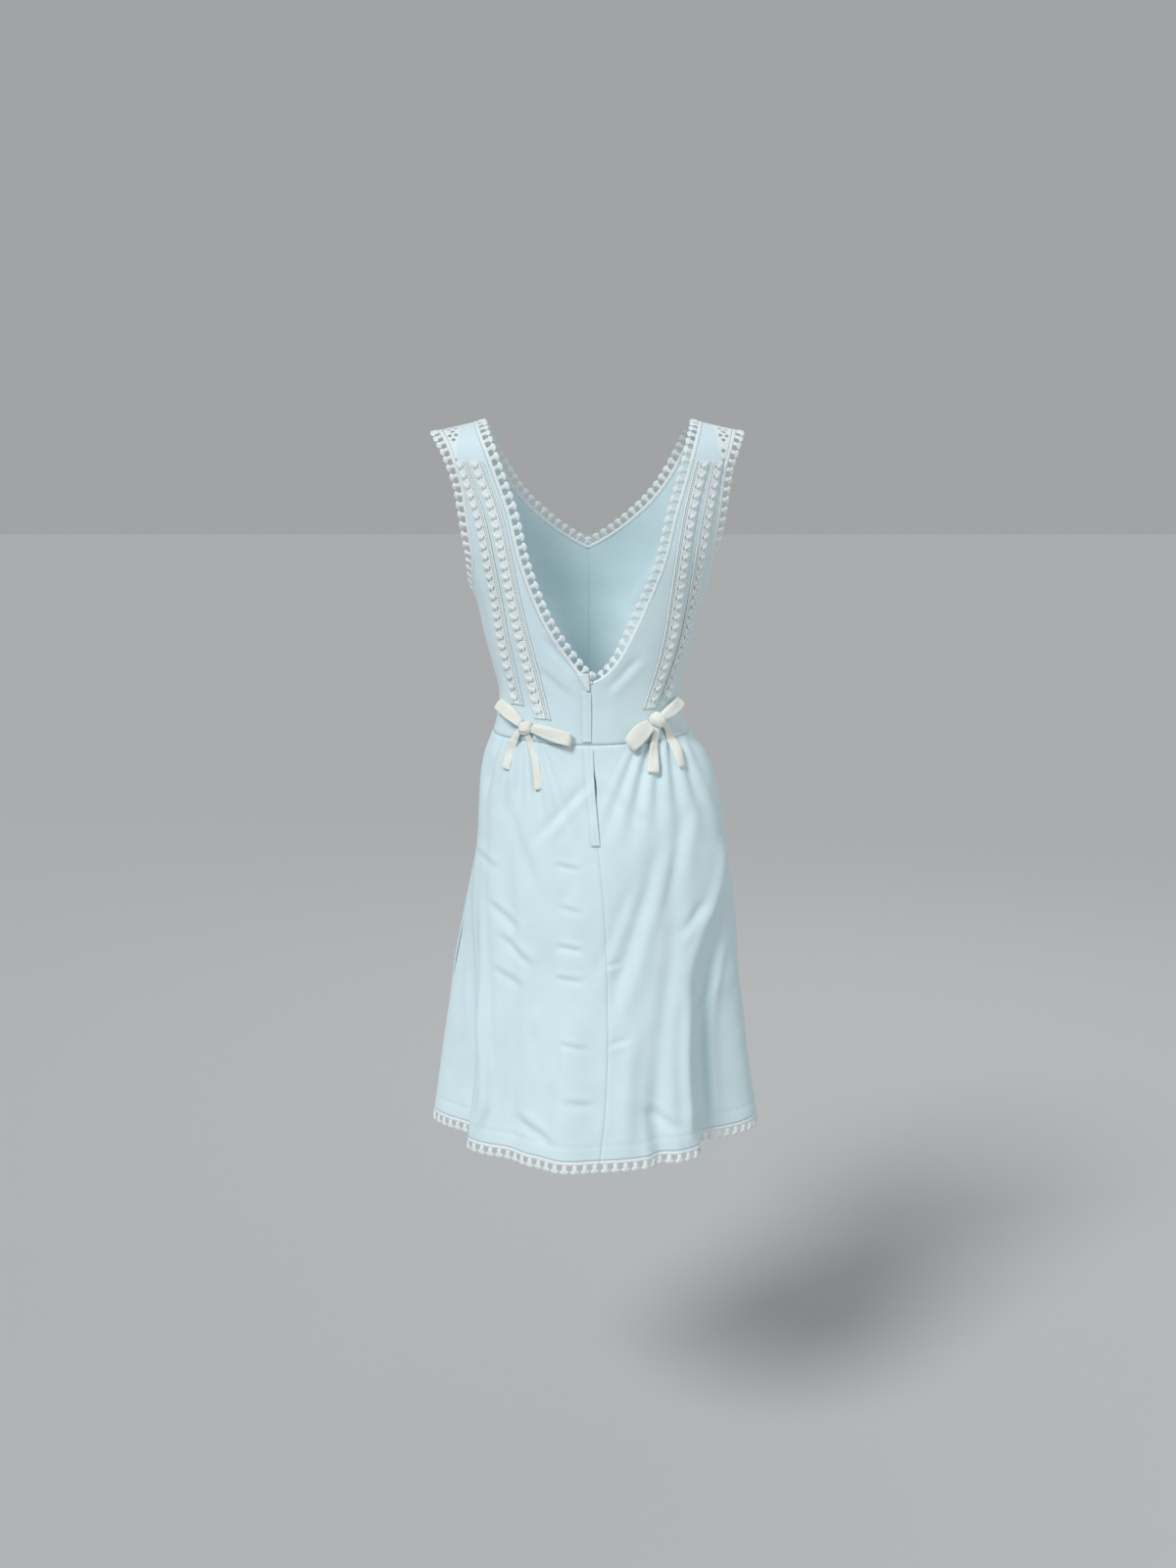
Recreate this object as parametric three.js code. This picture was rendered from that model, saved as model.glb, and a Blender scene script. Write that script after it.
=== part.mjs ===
// A sleeveless knee-length wedding dress with a deep V back, held in its worn shape.
// Millimetres. +X is the wearer's right, +Y the dress front, +Z up.
// The origin lies midway between the undersides of the two shoulder straps.
//
// Every piece of cloth is drawn in two numbers: the angle round the figure (0 at centre back,
// +90 at the right side seam, 180 at centre front) and the distance down the cloth from the
// shoulder line. place() turns the pair into a point, so neighbours share one surface.
import * as THREE from 'three';

// ---- driving dimensions, mm ----
const clothWall = 1.5;
const trimWall = 1.2;
const tapeWall = 1.0;
const seamGap = 0.3;
const edgingGap = 0.4;          // between a cloth edge and its crocheted edging
const lieGap = 0.6;             // between the bent panels and what lies on them
const shoulderHeight = 6;       // shoulder line above the origin at the neck side
const archHeight = 56;          // how far the strap falls while it turns over the shoulder
const archLength = 90;          // cloth length of that turn, on each side of the shoulder line
const strapInner = 147;         // neck side of the strap, from the centre
const shoulderSlope = 0.25;     // fall per mm outwards along the shoulder line
const slopeReach = 140;         // the slope has died away this far down
const underarm = 262;           // distances down the cloth
const backPoint = 358;
const frontPoint = 196;
const waist = 428;
const hem = 945;
const waistDip = 10;            // the waist seam is lower at centre back than at the sides
const hemDip = 4;
const hipLevel = 560;           // the dip of the waist seam has died away here
const edgingWidth = 17;         // crocheted edging, header and shells
const laceFull = 66;            // the shoulder lace narrows to its tip below this
const laceTip = 80;
const laceEnd = 88;             // the cloth's edge meets the armhole here
const zipEnd = 560;
const zipTop = 366;

// ---- the figure the dress is cut for: one row per height ----
const sections = [
  { height: 10, half: 216, back: 84, front: 72, shift: 0, curve: 2.2 },
  { height: -50, half: 206, back: 86, front: 80, shift: 0, curve: 2.2 },
  { height: -110, half: 190, back: 92, front: 94, shift: 1, curve: 2.2 },
  { height: -150, half: 175, back: 95, front: 108, shift: 1, curve: 2.2 },
  { height: -185, half: 158, back: 96, front: 118, shift: 1, curve: 2.2 },
  { height: -222, half: 144, back: 95, front: 124, shift: 1, curve: 2.2 },
  { height: -262, half: 135, back: 91, front: 118, shift: 1, curve: 2.2 },
  { height: -300, half: 125, back: 86, front: 106, shift: 1, curve: 2.2 },
  { height: -337, half: 117.5, back: 82, front: 97, shift: 2, curve: 2.2 },
  { height: -370, half: 121.5, back: 82, front: 95, shift: 2, curve: 2.2 },
  { height: -388, half: 128, back: 83, front: 95, shift: 4, curve: 2.2 },
  { height: -415, half: 143, back: 88, front: 95, shift: 9, curve: 2.2 },
  { height: -454, half: 154, back: 98, front: 97, shift: 14, curve: 2.15 },
  { height: -533, half: 167, back: 117, front: 104, shift: 17, curve: 2.1 },
  { height: -613, half: 180, back: 129, front: 113, shift: 14, curve: 2.0 },
  { height: -694, half: 189, back: 141, front: 124, shift: 11, curve: 1.95 },
  { height: -789, half: 201, back: 160, front: 140, shift: 9, curve: 1.85 },
  { height: -900, half: 218, back: 184, front: 160, shift: 9, curve: 1.75 },
  { height: -935, half: 222, back: 190, front: 166, shift: 10, curve: 1.75 },
];

// ---- the skirt's largest folds: degrees round the figure, mm deep at the hem ----
// near and far are the widths of the hollow's two slopes, towards centre back and away from it
const folds = [
  { topAngle: -84, hemAngle: -68, start: -430, settle: -800, depth: 34, near: 13, far: 24 },
  { topAngle: 84, hemAngle: 56, start: -500, settle: -720, depth: 38, near: 13, far: 26 },
  { topAngle: -38, hemAngle: -38, start: -640, settle: -900, depth: 9, near: 13, far: 13 },
  { topAngle: -12, hemAngle: -12, start: -640, settle: -900, depth: -9, near: 14, far: 14 },
  { topAngle: 28, hemAngle: 28, start: -760, settle: -900, depth: 10, near: 8, far: 8 },
  { topAngle: 146, hemAngle: 138, start: -470, settle: -850, depth: 20, near: 15, far: 13 },
  { topAngle: -150, hemAngle: -140, start: -500, settle: -850, depth: 18, near: 14, far: 13 },
  { topAngle: 180, hemAngle: 176, start: -560, settle: -900, depth: -9, near: 18, far: 16 },
];

// ---- edges of the panels: distance down the cloth, distance from the centre at each side ----
const backNeck = [
  { down: 0, left: 147, right: 147 },
  { down: 45, left: 139, right: 141 },
  { down: 102, left: 119, right: 127 },
  { down: 150, left: 102, right: 113 },
  { down: 210, left: 87, right: 98 },
  { down: 270, left: 65, right: 74 },
  { down: 307, left: 45, right: 56 },
  { down: 332, left: 26, right: 40 },
  { down: 350, left: 9, right: 21 },
  { down: 358, left: -3, right: 3 },
];
const frontNeck = [
  { down: 0, left: 147, right: 147 },
  { down: 45, left: 138, right: 138 },
  { down: 90, left: 118, right: 118 },
  { down: 130, left: 90, right: 90 },
  { down: 165, left: 52, right: 52 },
  { down: 185, left: 22, right: 22 },
  { down: 196, left: 0, right: 0 },
];
const backArmhole = [
  { down: 0, left: 185, right: 183 },
  { down: 25, left: 183, right: 182 },
  { down: 63, left: 171, right: 176 },
  { down: 88, left: 163, right: 170 },
  { down: 113, left: 155, right: 166 },
  { down: 140, left: 151, right: 163 },
  { down: 170, left: 147, right: 159 },
  { down: 200, left: 143, right: 154 },
  { down: 230, left: 141, right: 149 },
];
const frontArmhole = [
  { down: 0, left: 185, right: 183 },
  { down: 30, left: 180, right: 178 },
  { down: 80, left: 158, right: 160 },
  { down: 130, left: 143, right: 145 },
  { down: 180, left: 137, right: 138 },
  { down: 230, left: 137, right: 138 },
];
const centreBack = [
  { down: 358, x: 3 },
  { down: 430, x: 3 },
  { down: 465, x: 6 },
  { down: 516, x: 9 },
  { down: 560, x: 12 },
  { down: 640, x: 20 },
  { down: 780, x: 25 },
  { down: 880, x: 22 },
  { down: 963, x: 13 },
];

// ---- the two applied lace bands of each back panel: middle line and width ----
const bandRows = {
  band_outer_left: [
    { down: 84, x: -158, wide: 13 },
    { down: 150, x: -136, wide: 15 },
    { down: 254, x: -115, wide: 16 },
    { down: 304, x: -107, wide: 17 },
    { down: 386, x: -89, wide: 17 },
  ],
  band_inner_left: [
    { down: 84, x: -139, wide: 17 },
    { down: 150, x: -115, wide: 18 },
    { down: 254, x: -93, wide: 19 },
    { down: 304, x: -82, wide: 20 },
    { down: 400, x: -57, wide: 21 },
  ],
  band_inner_right: [
    { down: 84, x: 142, wide: 17 },
    { down: 150, x: 126, wide: 17 },
    { down: 254, x: 110, wide: 18 },
    { down: 300, x: 103, wide: 17 },
    { down: 336, x: 94, wide: 16 },
    { down: 388, x: 76, wide: 16 },
  ],
  band_outer_right: [
    { down: 84, x: 161, wide: 13 },
    { down: 150, x: 148, wide: 14 },
    { down: 254, x: 132, wide: 14 },
    { down: 300, x: 123, wide: 12 },
    { down: 336, x: 112, wide: 11 },
    { down: 380, x: 98, wide: 11 },
  ],
};

// ---- placket laps and the zip: distance down, left and right edges from the centre ----
const bodiceLap = [
  { down: 366, left: -8, right: 4 },
  { down: 395, left: -8, right: 4 },
  { down: 424, left: -7, right: 4 },
];
const skirtLap = [
  { down: 434, left: -5, right: 6 },
  { down: 480, left: -4, right: 8 },
  { down: 520, left: 1, right: 11 },
  { down: 562, left: 4, right: 15 },
];
const edgingTab = [
  { down: 344, left: -14, right: 1 },
  { down: 352, left: -9, right: 1.5 },
  { down: 363, left: -2, right: 2 },
];

// ---- the bows: middle lines as distance from the centre, height, distance behind the cloth ----
const bows = {
  left: {
    knot: { at: [-79, -371, 8], size: [9.4, 5, 8], turn: -30 },
    loops: {
      outer: { wide: [11, 17, 16], stand: 7, points: [[-88, -365, 6.3], [-103, -354, 11.2], [-117, -351, 28]] },
      inner: { wide: [13, 16, 16], stand: 7, points: [[-69.5, -370, 5.2], [-48, -375, 4], [-25, -380, 3.6]] },
    },
    tails: {
      outer: { wide: [9, 14, 14], off: 2.2, points: [[-86, -380], [-98, -402], [-105, -428]] },
      inner: { wide: [8, 10, 11], off: 2.2, points: [[-75, -380], [-67, -410], [-61, -450]] },
    },
  },
  right: {
    knot: { at: [88.5, -362, 9.5], size: [10.8, 6.2, 8.5], turn: 30 },
    loops: {
      inner: { wide: [14, 22, 20], stand: 8, points: [[79.5, -367, 3.4], [67, -375, 3.6], [55, -386, 3.8]] },
      outer: { wide: [12, 15, 14], stand: 6, points: [[96.5, -358, 7], [110, -351, 16], [123, -347, 34]] },
    },
    tails: {
      inner: { wide: [9, 12, 16], off: 2.8, points: [[84, -372], [82, -398], [81, -428]] },
      outer: { wide: [12, 14, 13], off: 3.1, points: [[96, -370], [107, -394], [118, -425]] },
    },
  },
};

const colours = {
  cloth: 0xf0f4f4,
  crochet: 0xf6f6f2,
  ties: 0xf4f0e2,
  zip: 0xe8e8e2,
};

// ---- reading tables and the surface of the figure ----

// Smooth value of one column at a place on the table's first column (cubic between rows).
function read(table, key, column, at) {
  const rising = table[1][key] > table[0][key];
  const rows = rising ? table : [...table].reverse();
  const last = rows.length - 1;
  const place = THREE.MathUtils.clamp(at, rows[0][key], rows[last][key]);
  let i = 0;
  while (i < last - 1 && place > rows[i + 1][key]) i += 1;
  const slope = (k) => {
    const before = rows[Math.max(k - 1, 0)];
    const after = rows[Math.min(k + 1, last)];
    return (after[column] - before[column]) / (after[key] - before[key]);
  };
  const span = rows[i + 1][key] - rows[i][key];
  const t = (place - rows[i][key]) / span;
  const from = rows[i][column];
  const to = rows[i + 1][column];
  const bend = (1 - t) * slope(i) - t * slope(i + 1);
  const lean = (to - from) * (2 * t - 1);
  return from + (to - from) * t + t * (1 - t) * (bend * span + lean);
}

const degrees = THREE.MathUtils.degToRad;
const sideAngle = Math.PI / 2;

function smooth(from, to, at) {
  const t = THREE.MathUtils.clamp((at - from) / (to - from), 0, 1);
  return t * t * (3 - 2 * t);
}

function sectionAt(height) {
  const column = (name) => read(sections, 'height', name, height);
  return {
    half: column('half'),
    back: column('back'),
    front: column('front'),
    shift: column('shift'),
    curve: column('curve'),
  };
}

// Height of the cloth a distance down from the shoulder line: a quarter turn, then straight down.
function heightAt(down) {
  if (down > archLength) return shoulderHeight - archHeight - (down - archLength);
  return shoulderHeight - archHeight * (1 - Math.cos(sideAngle * down / archLength));
}

// Share of the figure's depth that the strap has reached on its way over the shoulder.
function archShare(down) {
  return down > archLength ? 1 : Math.sin(sideAngle * down / archLength);
}

// Depth of all folds at one place, mm inwards: each is a soft hollow with two unequal slopes.
function foldDepth(angle, height) {
  let depth = 0;
  for (const fold of folds) {
    const grown = smooth(fold.start, -900, height);
    const middle = THREE.MathUtils.lerp(
      fold.topAngle, fold.hemAngle, smooth(fold.start, fold.settle, height));
    const turn = angle - degrees(middle);
    const away = Math.atan2(Math.sin(turn), Math.cos(turn)) * Math.sign(middle);
    const share = Math.abs(away) / degrees(away < 0 ? fold.near : fold.far);
    if (share < 1) depth += fold.depth * grown * (0.5 + 0.5 * Math.cos(Math.PI * share));
  }
  return depth;
}

// Drop of the seams at centre back, growing to the waist and easing to the hem's own dip.
function seamDip(angle, down) {
  const atWaist = smooth(300, waist, down) * (1 - smooth(waist, hipLevel, down));
  const atHem = smooth(hipLevel, hem, down);
  return Math.cos(angle) * (waistDip * atWaist + hemDip * atHem);
}

// The point at an angle round the figure and a distance down the cloth.
function place(angle, down) {
  const height = heightAt(down);
  const { half, back, front, shift, curve } = sectionAt(height);
  const depth = Math.cos(angle) > 0 ? back : front;
  const across = Math.abs(Math.sin(angle)) / half;
  const through = Math.abs(Math.cos(angle)) / depth;
  const radius = (across ** curve + through ** curve) ** (-1 / curve) - foldDepth(angle, height);
  const x = radius * Math.sin(angle);
  const slope = shoulderSlope * (Math.abs(x) - strapInner) * Math.max(0, 1 - down / slopeReach) ** 2;
  return new THREE.Vector3(
    shift + x,
    -radius * Math.cos(angle) * archShare(down),
    height - slope - seamDip(angle, down),
  );
}

// The direction out of the cloth at the same place.
function outward(angle, down) {
  const across = place(angle + 0.004, down).sub(place(angle - 0.004, down));
  const along = place(angle, down + 0.8).sub(place(angle, Math.max(down - 0.8, 0)));
  return along.cross(across).normalize();
}

// The angle at which the figure is a given distance from the centre; face is 'back' or 'front'.
function angleAt(x, down, face) {
  const section = sectionAt(heightAt(down));
  const across = Math.min(Math.abs(x - section.shift) / section.half, 1);
  const through = section[face] * (1 - across ** section.curve) ** (1 / section.curve);
  const turn = Math.atan2(Math.abs(x - section.shift), through);
  return Math.sign(x - section.shift) * (face === 'back' ? turn : Math.PI - turn);
}

// ---- closed walls from surfaces ----

const onCloth = (angle, down) => ({ point: place(angle, down), normal: outward(angle, down) });

// Squares of a grid of rows and columns, numbered row by row; wrapped joins the last row to the first.
function gridSquares(rows, columns, wrapped = false) {
  const squares = [];
  const steps = wrapped ? rows : rows - 1;
  for (let i = 0; i < steps; i += 1) {
    for (let j = 0; j < columns - 1; j += 1) {
      const next = (i + 1) % rows;
      squares.push([i * columns + j, i * columns + j + 1, next * columns + j + 1, next * columns + j]);
    }
  }
  return squares;
}

// Joins surfaces into one and merges the points they share.
function joinSurfaces(surfaces) {
  const spots = [];
  const numbers = new Map();
  const squares = [];
  for (const surface of surfaces) {
    const renumbered = surface.spots.map((spot) => {
      const key = spot.point.toArray().map((value) => value.toFixed(3)).join();
      if (!numbers.has(key)) numbers.set(key, spots.push(spot) - 1);
      return numbers.get(key);
    });
    squares.push(...surface.squares.map((square) => square.map((index) => renumbered[index])));
  }
  return { spots, squares };
}

// A closed wall: the surface moved out and in by half the thickness, and a rim along its edges.
function wall({ spots, squares }, thickness, lift = 0, limit = (point) => point) {
  const count = spots.length;
  const shell = [0.5, -0.5].flatMap((side) => spots.map(
    (spot) => limit(spot.point.clone().addScaledVector(spot.normal, lift + side * thickness))));
  const triangles = [];
  const used = new Set();
  for (const [a, b, c, d] of squares) {
    triangles.push([a, b, c], [a, c, d]);
    triangles.push([a + count, c + count, b + count], [a + count, d + count, c + count]);
    for (const [from, to] of [[a, b], [b, c], [c, d], [d, a]]) used.add(`${from},${to}`);
  }
  for (const edge of used) {
    const [from, to] = edge.split(',').map(Number);
    if (!used.has(`${to},${from}`)) {
      triangles.push([to, from, from + count], [to, from + count, to + count]);
    }
  }
  return closedGeometry(shell, triangles);
}

// A buffer geometry whose faces point out, whichever way round its triangles were listed.
function closedGeometry(points, triangles) {
  let volume = 0;
  for (const [a, b, c] of triangles) {
    volume += points[a].dot(new THREE.Vector3().crossVectors(points[b], points[c]));
  }
  const order = volume > 0 ? triangles : triangles.map(([a, b, c]) => [a, c, b]);
  const geometry = new THREE.BufferGeometry();
  geometry.setAttribute('position', new THREE.Float32BufferAttribute(
    points.flatMap((point) => point.toArray()), 3));
  geometry.setIndex(order.flat());
  geometry.computeVertexNormals();
  return geometry;
}

function piece(name, geometry, colour, roughness = 0.85) {
  const material = new THREE.MeshStandardMaterial({ color: colour, roughness, metalness: 0 });
  const mesh = new THREE.Mesh(geometry, material);
  mesh.name = name;
  return mesh;
}

const sign = { left: -1, right: 1 };
const half = seamGap / 2;

// ---- bodice ----

const upperRows = [half, 22, 45, 66, 88, 113, 140, 170, 200, 228, 248, 258, underarm];
const backRows = [...upperRows, 282, 307, 332, 350, backPoint, 380, 404, waist - half];
const frontRows = [
  half, 22, 45, 66, 90, 115, 140, 165, 185, frontPoint, 215, 235, 250, 258, underarm,
  290, 322, 357, 392, waist - half];
const bodiceColumns = 8;

// The angle of the armhole edge: the table's line, drawn round to the side seam near the underarm.
function armholeAngle(side, face, down) {
  const table = face === 'back' ? backArmhole : frontArmhole;
  const line = angleAt(sign[side] * read(table, 'down', side, down), down, face);
  const seam = sign[side] * sideAngle;
  const share = THREE.MathUtils.clamp((down - 200) / (underarm - 200), 0, 1);
  return THREE.MathUtils.lerp(line, seam, 1 - Math.sqrt(1 - share ** 2));
}

// The angle of a bodice half's outer edge: shoulder lace, armhole, then side seam.
function outerAngle(side, face, down) {
  const towardsBack = face === 'back' ? -1 : 1;
  if (down >= underarm) {
    return sign[side] * (sideAngle + towardsBack * half / sectionAt(heightAt(down)).half);
  }
  if (down >= laceEnd) return armholeAngle(side, face, down);
  return laceInnerAngle(side, face, down);
}

// The cloth's edge beside the shoulder lace: nearly straight, then in to meet the armhole.
function laceInnerAngle(side, face, down) {
  const along = Math.min(down, laceFull);
  const offset = THREE.MathUtils.lerp(157, face === 'back' ? 163 : 154, along / laceFull);
  const line = angleAt(sign[side] * offset, along, face);
  const meeting = armholeAngle(side, face, laceEnd);
  return THREE.MathUtils.lerp(line, meeting, Math.max(down - laceFull, 0) / (laceEnd - laceFull));
}

function laceOuterAngle(side, face, down) {
  if (down <= laceFull) return armholeAngle(side, face, down);
  const share = (down - laceFull) / (laceEnd - laceFull);
  return THREE.MathUtils.lerp(
    armholeAngle(side, face, laceFull), armholeAngle(side, face, laceEnd), share);
}

function centreX(down) {
  return read(centreBack, 'down', 'x', down);
}

function backInner(side, down) {
  const line = centreX(down) + sign[side] * half;
  const edge = sign[side] * read(backNeck, 'down', side, down);
  return angleAt(down < backPoint ? edge : line, down, 'back');
}

function frontInner(side, down) {
  if (down >= frontPoint) return sign[side] * Math.PI;
  return angleAt(sign[side] * read(frontNeck, 'down', side, down), down, 'front');
}

function bodiceHalf(side, face, rows) {
  const inner = face === 'back' ? backInner : frontInner;
  const spots = rows.flatMap((down) => {
    const from = inner(side, down);
    const to = outerAngle(side, face, down);
    return Array.from({ length: bodiceColumns }, (_, j) => (
      onCloth(THREE.MathUtils.lerp(from, to, j / (bodiceColumns - 1)), down)));
  });
  return { spots, squares: gridSquares(rows.length, bodiceColumns) };
}

function flipSquares({ spots, squares }) {
  return { spots, squares: squares.map((square) => [...square].reverse()) };
}

function bodice() {
  const group = new THREE.Group();
  for (const side of ['left', 'right']) {
    const surface = bodiceHalf(side, 'back', backRows);
    group.add(piece(`bodice_back_${side}`, wall(surface, clothWall), colours.cloth));
  }
  const halves = [
    bodiceHalf('left', 'front', frontRows), flipSquares(bodiceHalf('right', 'front', frontRows))];
  group.add(piece('bodice_front', wall(joinSurfaces(halves), clothWall), colours.cloth));
  return group;
}

// ---- skirt ----

const skirtSteps = 13;
const skirtRows = Array.from({ length: skirtSteps + 1 }, (_, i) => (
  THREE.MathUtils.lerp(waist + half, hem, i / skirtSteps)));
const backColumns = 16;
const frontColumns = 30;

function skirtPanel(columns, fromAngle, toAngle, rows = skirtRows) {
  const spots = rows.flatMap((down) => Array.from({ length: columns }, (_, j) => (
    onCloth(THREE.MathUtils.lerp(fromAngle(down), toAngle(down), j / (columns - 1)), down))));
  return { spots, squares: gridSquares(rows.length, columns) };
}

const seamTurn = (down) => half / sectionAt(heightAt(down)).half;
const centreTurn = (side) => (down) => angleAt(centreX(down) + sign[side] * half, down, 'back');

// The three skirt panels between the same seams, over any rows: the cloth and the hem edging use it.
function skirtParts(rows) {
  const side = (name, towards) => (down) => sign[name] * (sideAngle + towards * seamTurn(down));
  const rightFront = (down) => sideAngle + seamTurn(down);
  const leftFront = (down) => 3 * sideAngle - seamTurn(down);
  return {
    back_left: skirtPanel(backColumns, side('left', -1), centreTurn('left'), rows),
    back_right: skirtPanel(backColumns, centreTurn('right'), side('right', -1), rows),
    front: skirtPanel(frontColumns, rightFront, leftFront, rows),
  };
}

function skirt() {
  const group = new THREE.Group();
  for (const [name, surface] of Object.entries(skirtParts(skirtRows))) {
    group.add(piece(`skirt_${name}`, wall(surface, clothWall), colours.cloth));
  }
  for (const [name, surface] of Object.entries(skirtParts([hem + seamGap, hem + edgingWidth]))) {
    group.add(piece(`hem_edging_${name}`, wall(surface, trimWall), colours.crochet));
  }
  return group;
}

// ---- crocheted edgings of the neck and armholes ----

// A strip that leaves an edge square to it and level with the cloth, turned out of level by turnAt.
function edgeStrip(edge, closed, direction, turnAt = () => 0) {
  const count = edge.length;
  const spots = edge.map(({ angle, down }) => onCloth(angle, down));
  const leaving = spots.flatMap(({ point, normal }, i) => {
    const before = spots[closed ? (i + count - 1) % count : Math.max(i - 1, 0)].point;
    const after = spots[closed ? (i + 1) % count : Math.min(i + 1, count - 1)].point;
    const along = after.clone().sub(before).normalize();
    const level = normal.clone().cross(along).normalize().multiplyScalar(direction);
    const turn = turnAt(edge[i].down);
    const way = level.clone().multiplyScalar(Math.cos(turn)).addScaledVector(normal, -Math.sin(turn));
    const facing = normal.clone().multiplyScalar(Math.cos(turn)).addScaledVector(level, Math.sin(turn));
    const foot = point.clone().addScaledVector(level, edgingGap + Math.sin(turn) * clothWall / 2);
    return [0, edgingWidth - edgingGap].map((distance) => (
      { point: foot.clone().addScaledVector(way, distance), normal: facing }));
  });
  return { spots: leaving, squares: gridSquares(count, 2, closed) };
}

function neckEdge(side, face) {
  const inner = face === 'back' ? backInner : frontInner;
  const end = face === 'back' ? backPoint : frontPoint;
  const rows = (face === 'back' ? backRows : frontRows).filter((down) => down < end);
  const centre = face === 'back' ? centreTurn(side)(end) : sign[side] * Math.PI;
  const edge = rows.map((down) => ({ angle: inner(side, down), down }));
  return [...edge, { angle: centre, down: end }];
}

// The right back edging rolls into the neckline towards the point of the V.
const rollIn = (down) => degrees(62) * smooth(210, 330, down);

function neckEdging() {
  const group = new THREE.Group();
  const clear = {
    left: ({ x, y, z }) => new THREE.Vector3(Math.min(x, centreX(backPoint) - half), Math.min(y, -half), z),
    right: ({ x, y, z }) => new THREE.Vector3(Math.max(x, centreX(backPoint) + half), Math.min(y, -half), z),
  };
  const clearFront = ({ x, y, z }) => new THREE.Vector3(x, Math.max(y, half), z);
  for (const side of ['left', 'right']) {
    const turnAt = side === 'right' ? rollIn : undefined;
    const strip = edgeStrip(neckEdge(side, 'back'), false, -sign[side], turnAt);
    group.add(piece(
      `neck_edging_back_${side}`, wall(strip, trimWall, 0, clear[side]), colours.crochet));
  }
  const around = [...neckEdge('left', 'front'), ...neckEdge('right', 'front').reverse().slice(1)];
  const front = edgeStrip(around, false, -1);
  group.add(piece('neck_edging_front', wall(front, trimWall, 0, clearFront), colours.crochet));
  group.add(piece('neck_edging_tab', lyingPatch(edgingTab, trimWall, restingLift), colours.crochet));
  return group;
}

function armholeEdging(side) {
  const back = upperRows.slice(1).map((down) => ({ angle: armholeAngle(side, 'back', down), down }));
  const front = frontRows.filter((down) => down > half && down < underarm)
    .map((down) => ({ angle: armholeAngle(side, 'front', down), down }));
  const top = { angle: armholeAngle(side, 'back', 0), down: 0 };
  const loop = edgeStrip([top, ...back, ...front.reverse()], true, sign[side]);
  return piece(`armhole_edging_${side}`, wall(loop, trimWall), colours.crochet);
}

// The open lace let in at the outer shoulder: a long diamond over the shoulder line.
function shoulderLace(side) {
  const rows = [-laceTip, -laceFull, -45, -22, 0, 22, 45, laceFull, laceTip];
  const spots = rows.flatMap((row) => {
    const down = Math.abs(row);
    const face = row > 0 ? 'front' : 'back';
    const edges = [laceInnerAngle(side, face, down), laceOuterAngle(side, face, down)];
    const [from, to] = edges.map((angle) => place(angle, down));
    const inset = edgingGap * 1.5 / from.distanceTo(to);
    return [inset, 0.5, 1 - inset].map((share) => onCloth(THREE.MathUtils.lerp(...edges, share), down));
  });
  const surface = { spots, squares: gridSquares(rows.length, 3) };
  return piece(`shoulder_lace_${side}`, wall(surface, trimWall), colours.crochet);
}

// ---- what lies on the panels: lace bands, placket laps, zip ----

// A strip on the back between a left and a right edge, lifted off the cloth's middle surface.
// It bends at the same rows as the cloth under it.
function lyingPatch(table, thickness, lift, columns = 2) {
  const from = table[0].down;
  const to = table[table.length - 1].down;
  const between = [...backRows, ...skirtRows].filter((down) => down > from + 1 && down < to - 1);
  const rows = [from, ...between, to];
  const spots = rows.flatMap((down) => {
    const edges = ['left', 'right'].map((name) => (
      angleAt(read(table, 'down', name, down), down, 'back')));
    return Array.from({ length: columns }, (_, j) => (
      onCloth(THREE.MathUtils.lerp(...edges, j / (columns - 1)), down)));
  });
  return wall({ spots, squares: gridSquares(rows.length, columns) }, thickness, lift);
}

const restingLift = (clothWall + trimWall) / 2 + lieGap;

function laceBands() {
  const group = new THREE.Group();
  for (const [name, rows] of Object.entries(bandRows)) {
    const table = rows.map(({ down, x, wide }) => (
      { down, left: x - wide / 2, right: x + wide / 2 }));
    group.add(piece(name, lyingPatch(table, trimWall, restingLift, 3), colours.crochet));
  }
  return group;
}

// A table of edges that follows the centre back seam at a half width.
function alongSeam(from, to, halfWidth) {
  return [...backRows, ...skirtRows].filter((down) => down > from && down < to).concat(to)
    .reduce((rows, down) => [...rows, seamRow(down, halfWidth)], [seamRow(from, halfWidth)]);
}

function seamRow(down, halfWidth) {
  return { down, left: centreX(down) - halfWidth, right: centreX(down) + halfWidth };
}

function closure() {
  const group = new THREE.Group();
  const chainWall = 1.2;
  const chainLift = -(clothWall + chainWall) / 2 - lieGap;
  const tapeLift = chainLift - (chainWall + tapeWall) / 2 - seamGap;
  group.add(piece('placket_lap_bodice', lyingPatch(bodiceLap, trimWall, restingLift), colours.cloth));
  group.add(piece('placket_lap_skirt', lyingPatch(skirtLap, trimWall, restingLift), colours.cloth));
  group.add(piece('zip_chain', lyingPatch(
    alongSeam(zipTop + 10, zipEnd - 8, 2.2), chainWall, chainLift), colours.zip));
  group.add(piece('zip_tape', lyingPatch(
    alongSeam(zipTop - 6, zipEnd, 12), tapeWall, tapeLift), colours.zip));
  group.add(piece('zip_slider', lyingPatch(
    alongSeam(zipTop, zipTop + 9.5, 4), chainWall, chainLift), colours.zip));
  return group;
}

// ---- bows ----

const downAt = (height) => shoulderHeight - archHeight + archLength - height;

// A point straight behind the cloth at a distance from the centre and a height.
function behind(x, height, off) {
  const down = downAt(height);
  const { y } = place(angleAt(x, down, 'back'), down);
  return new THREE.Vector3(x, y - off, height);
}

const alongList = (list) => (t) => {
  const at = t * (list.length - 1);
  const i = Math.min(Math.floor(at), list.length - 2);
  return THREE.MathUtils.lerp(list[i], list[i + 1], at - i);
};

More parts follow.
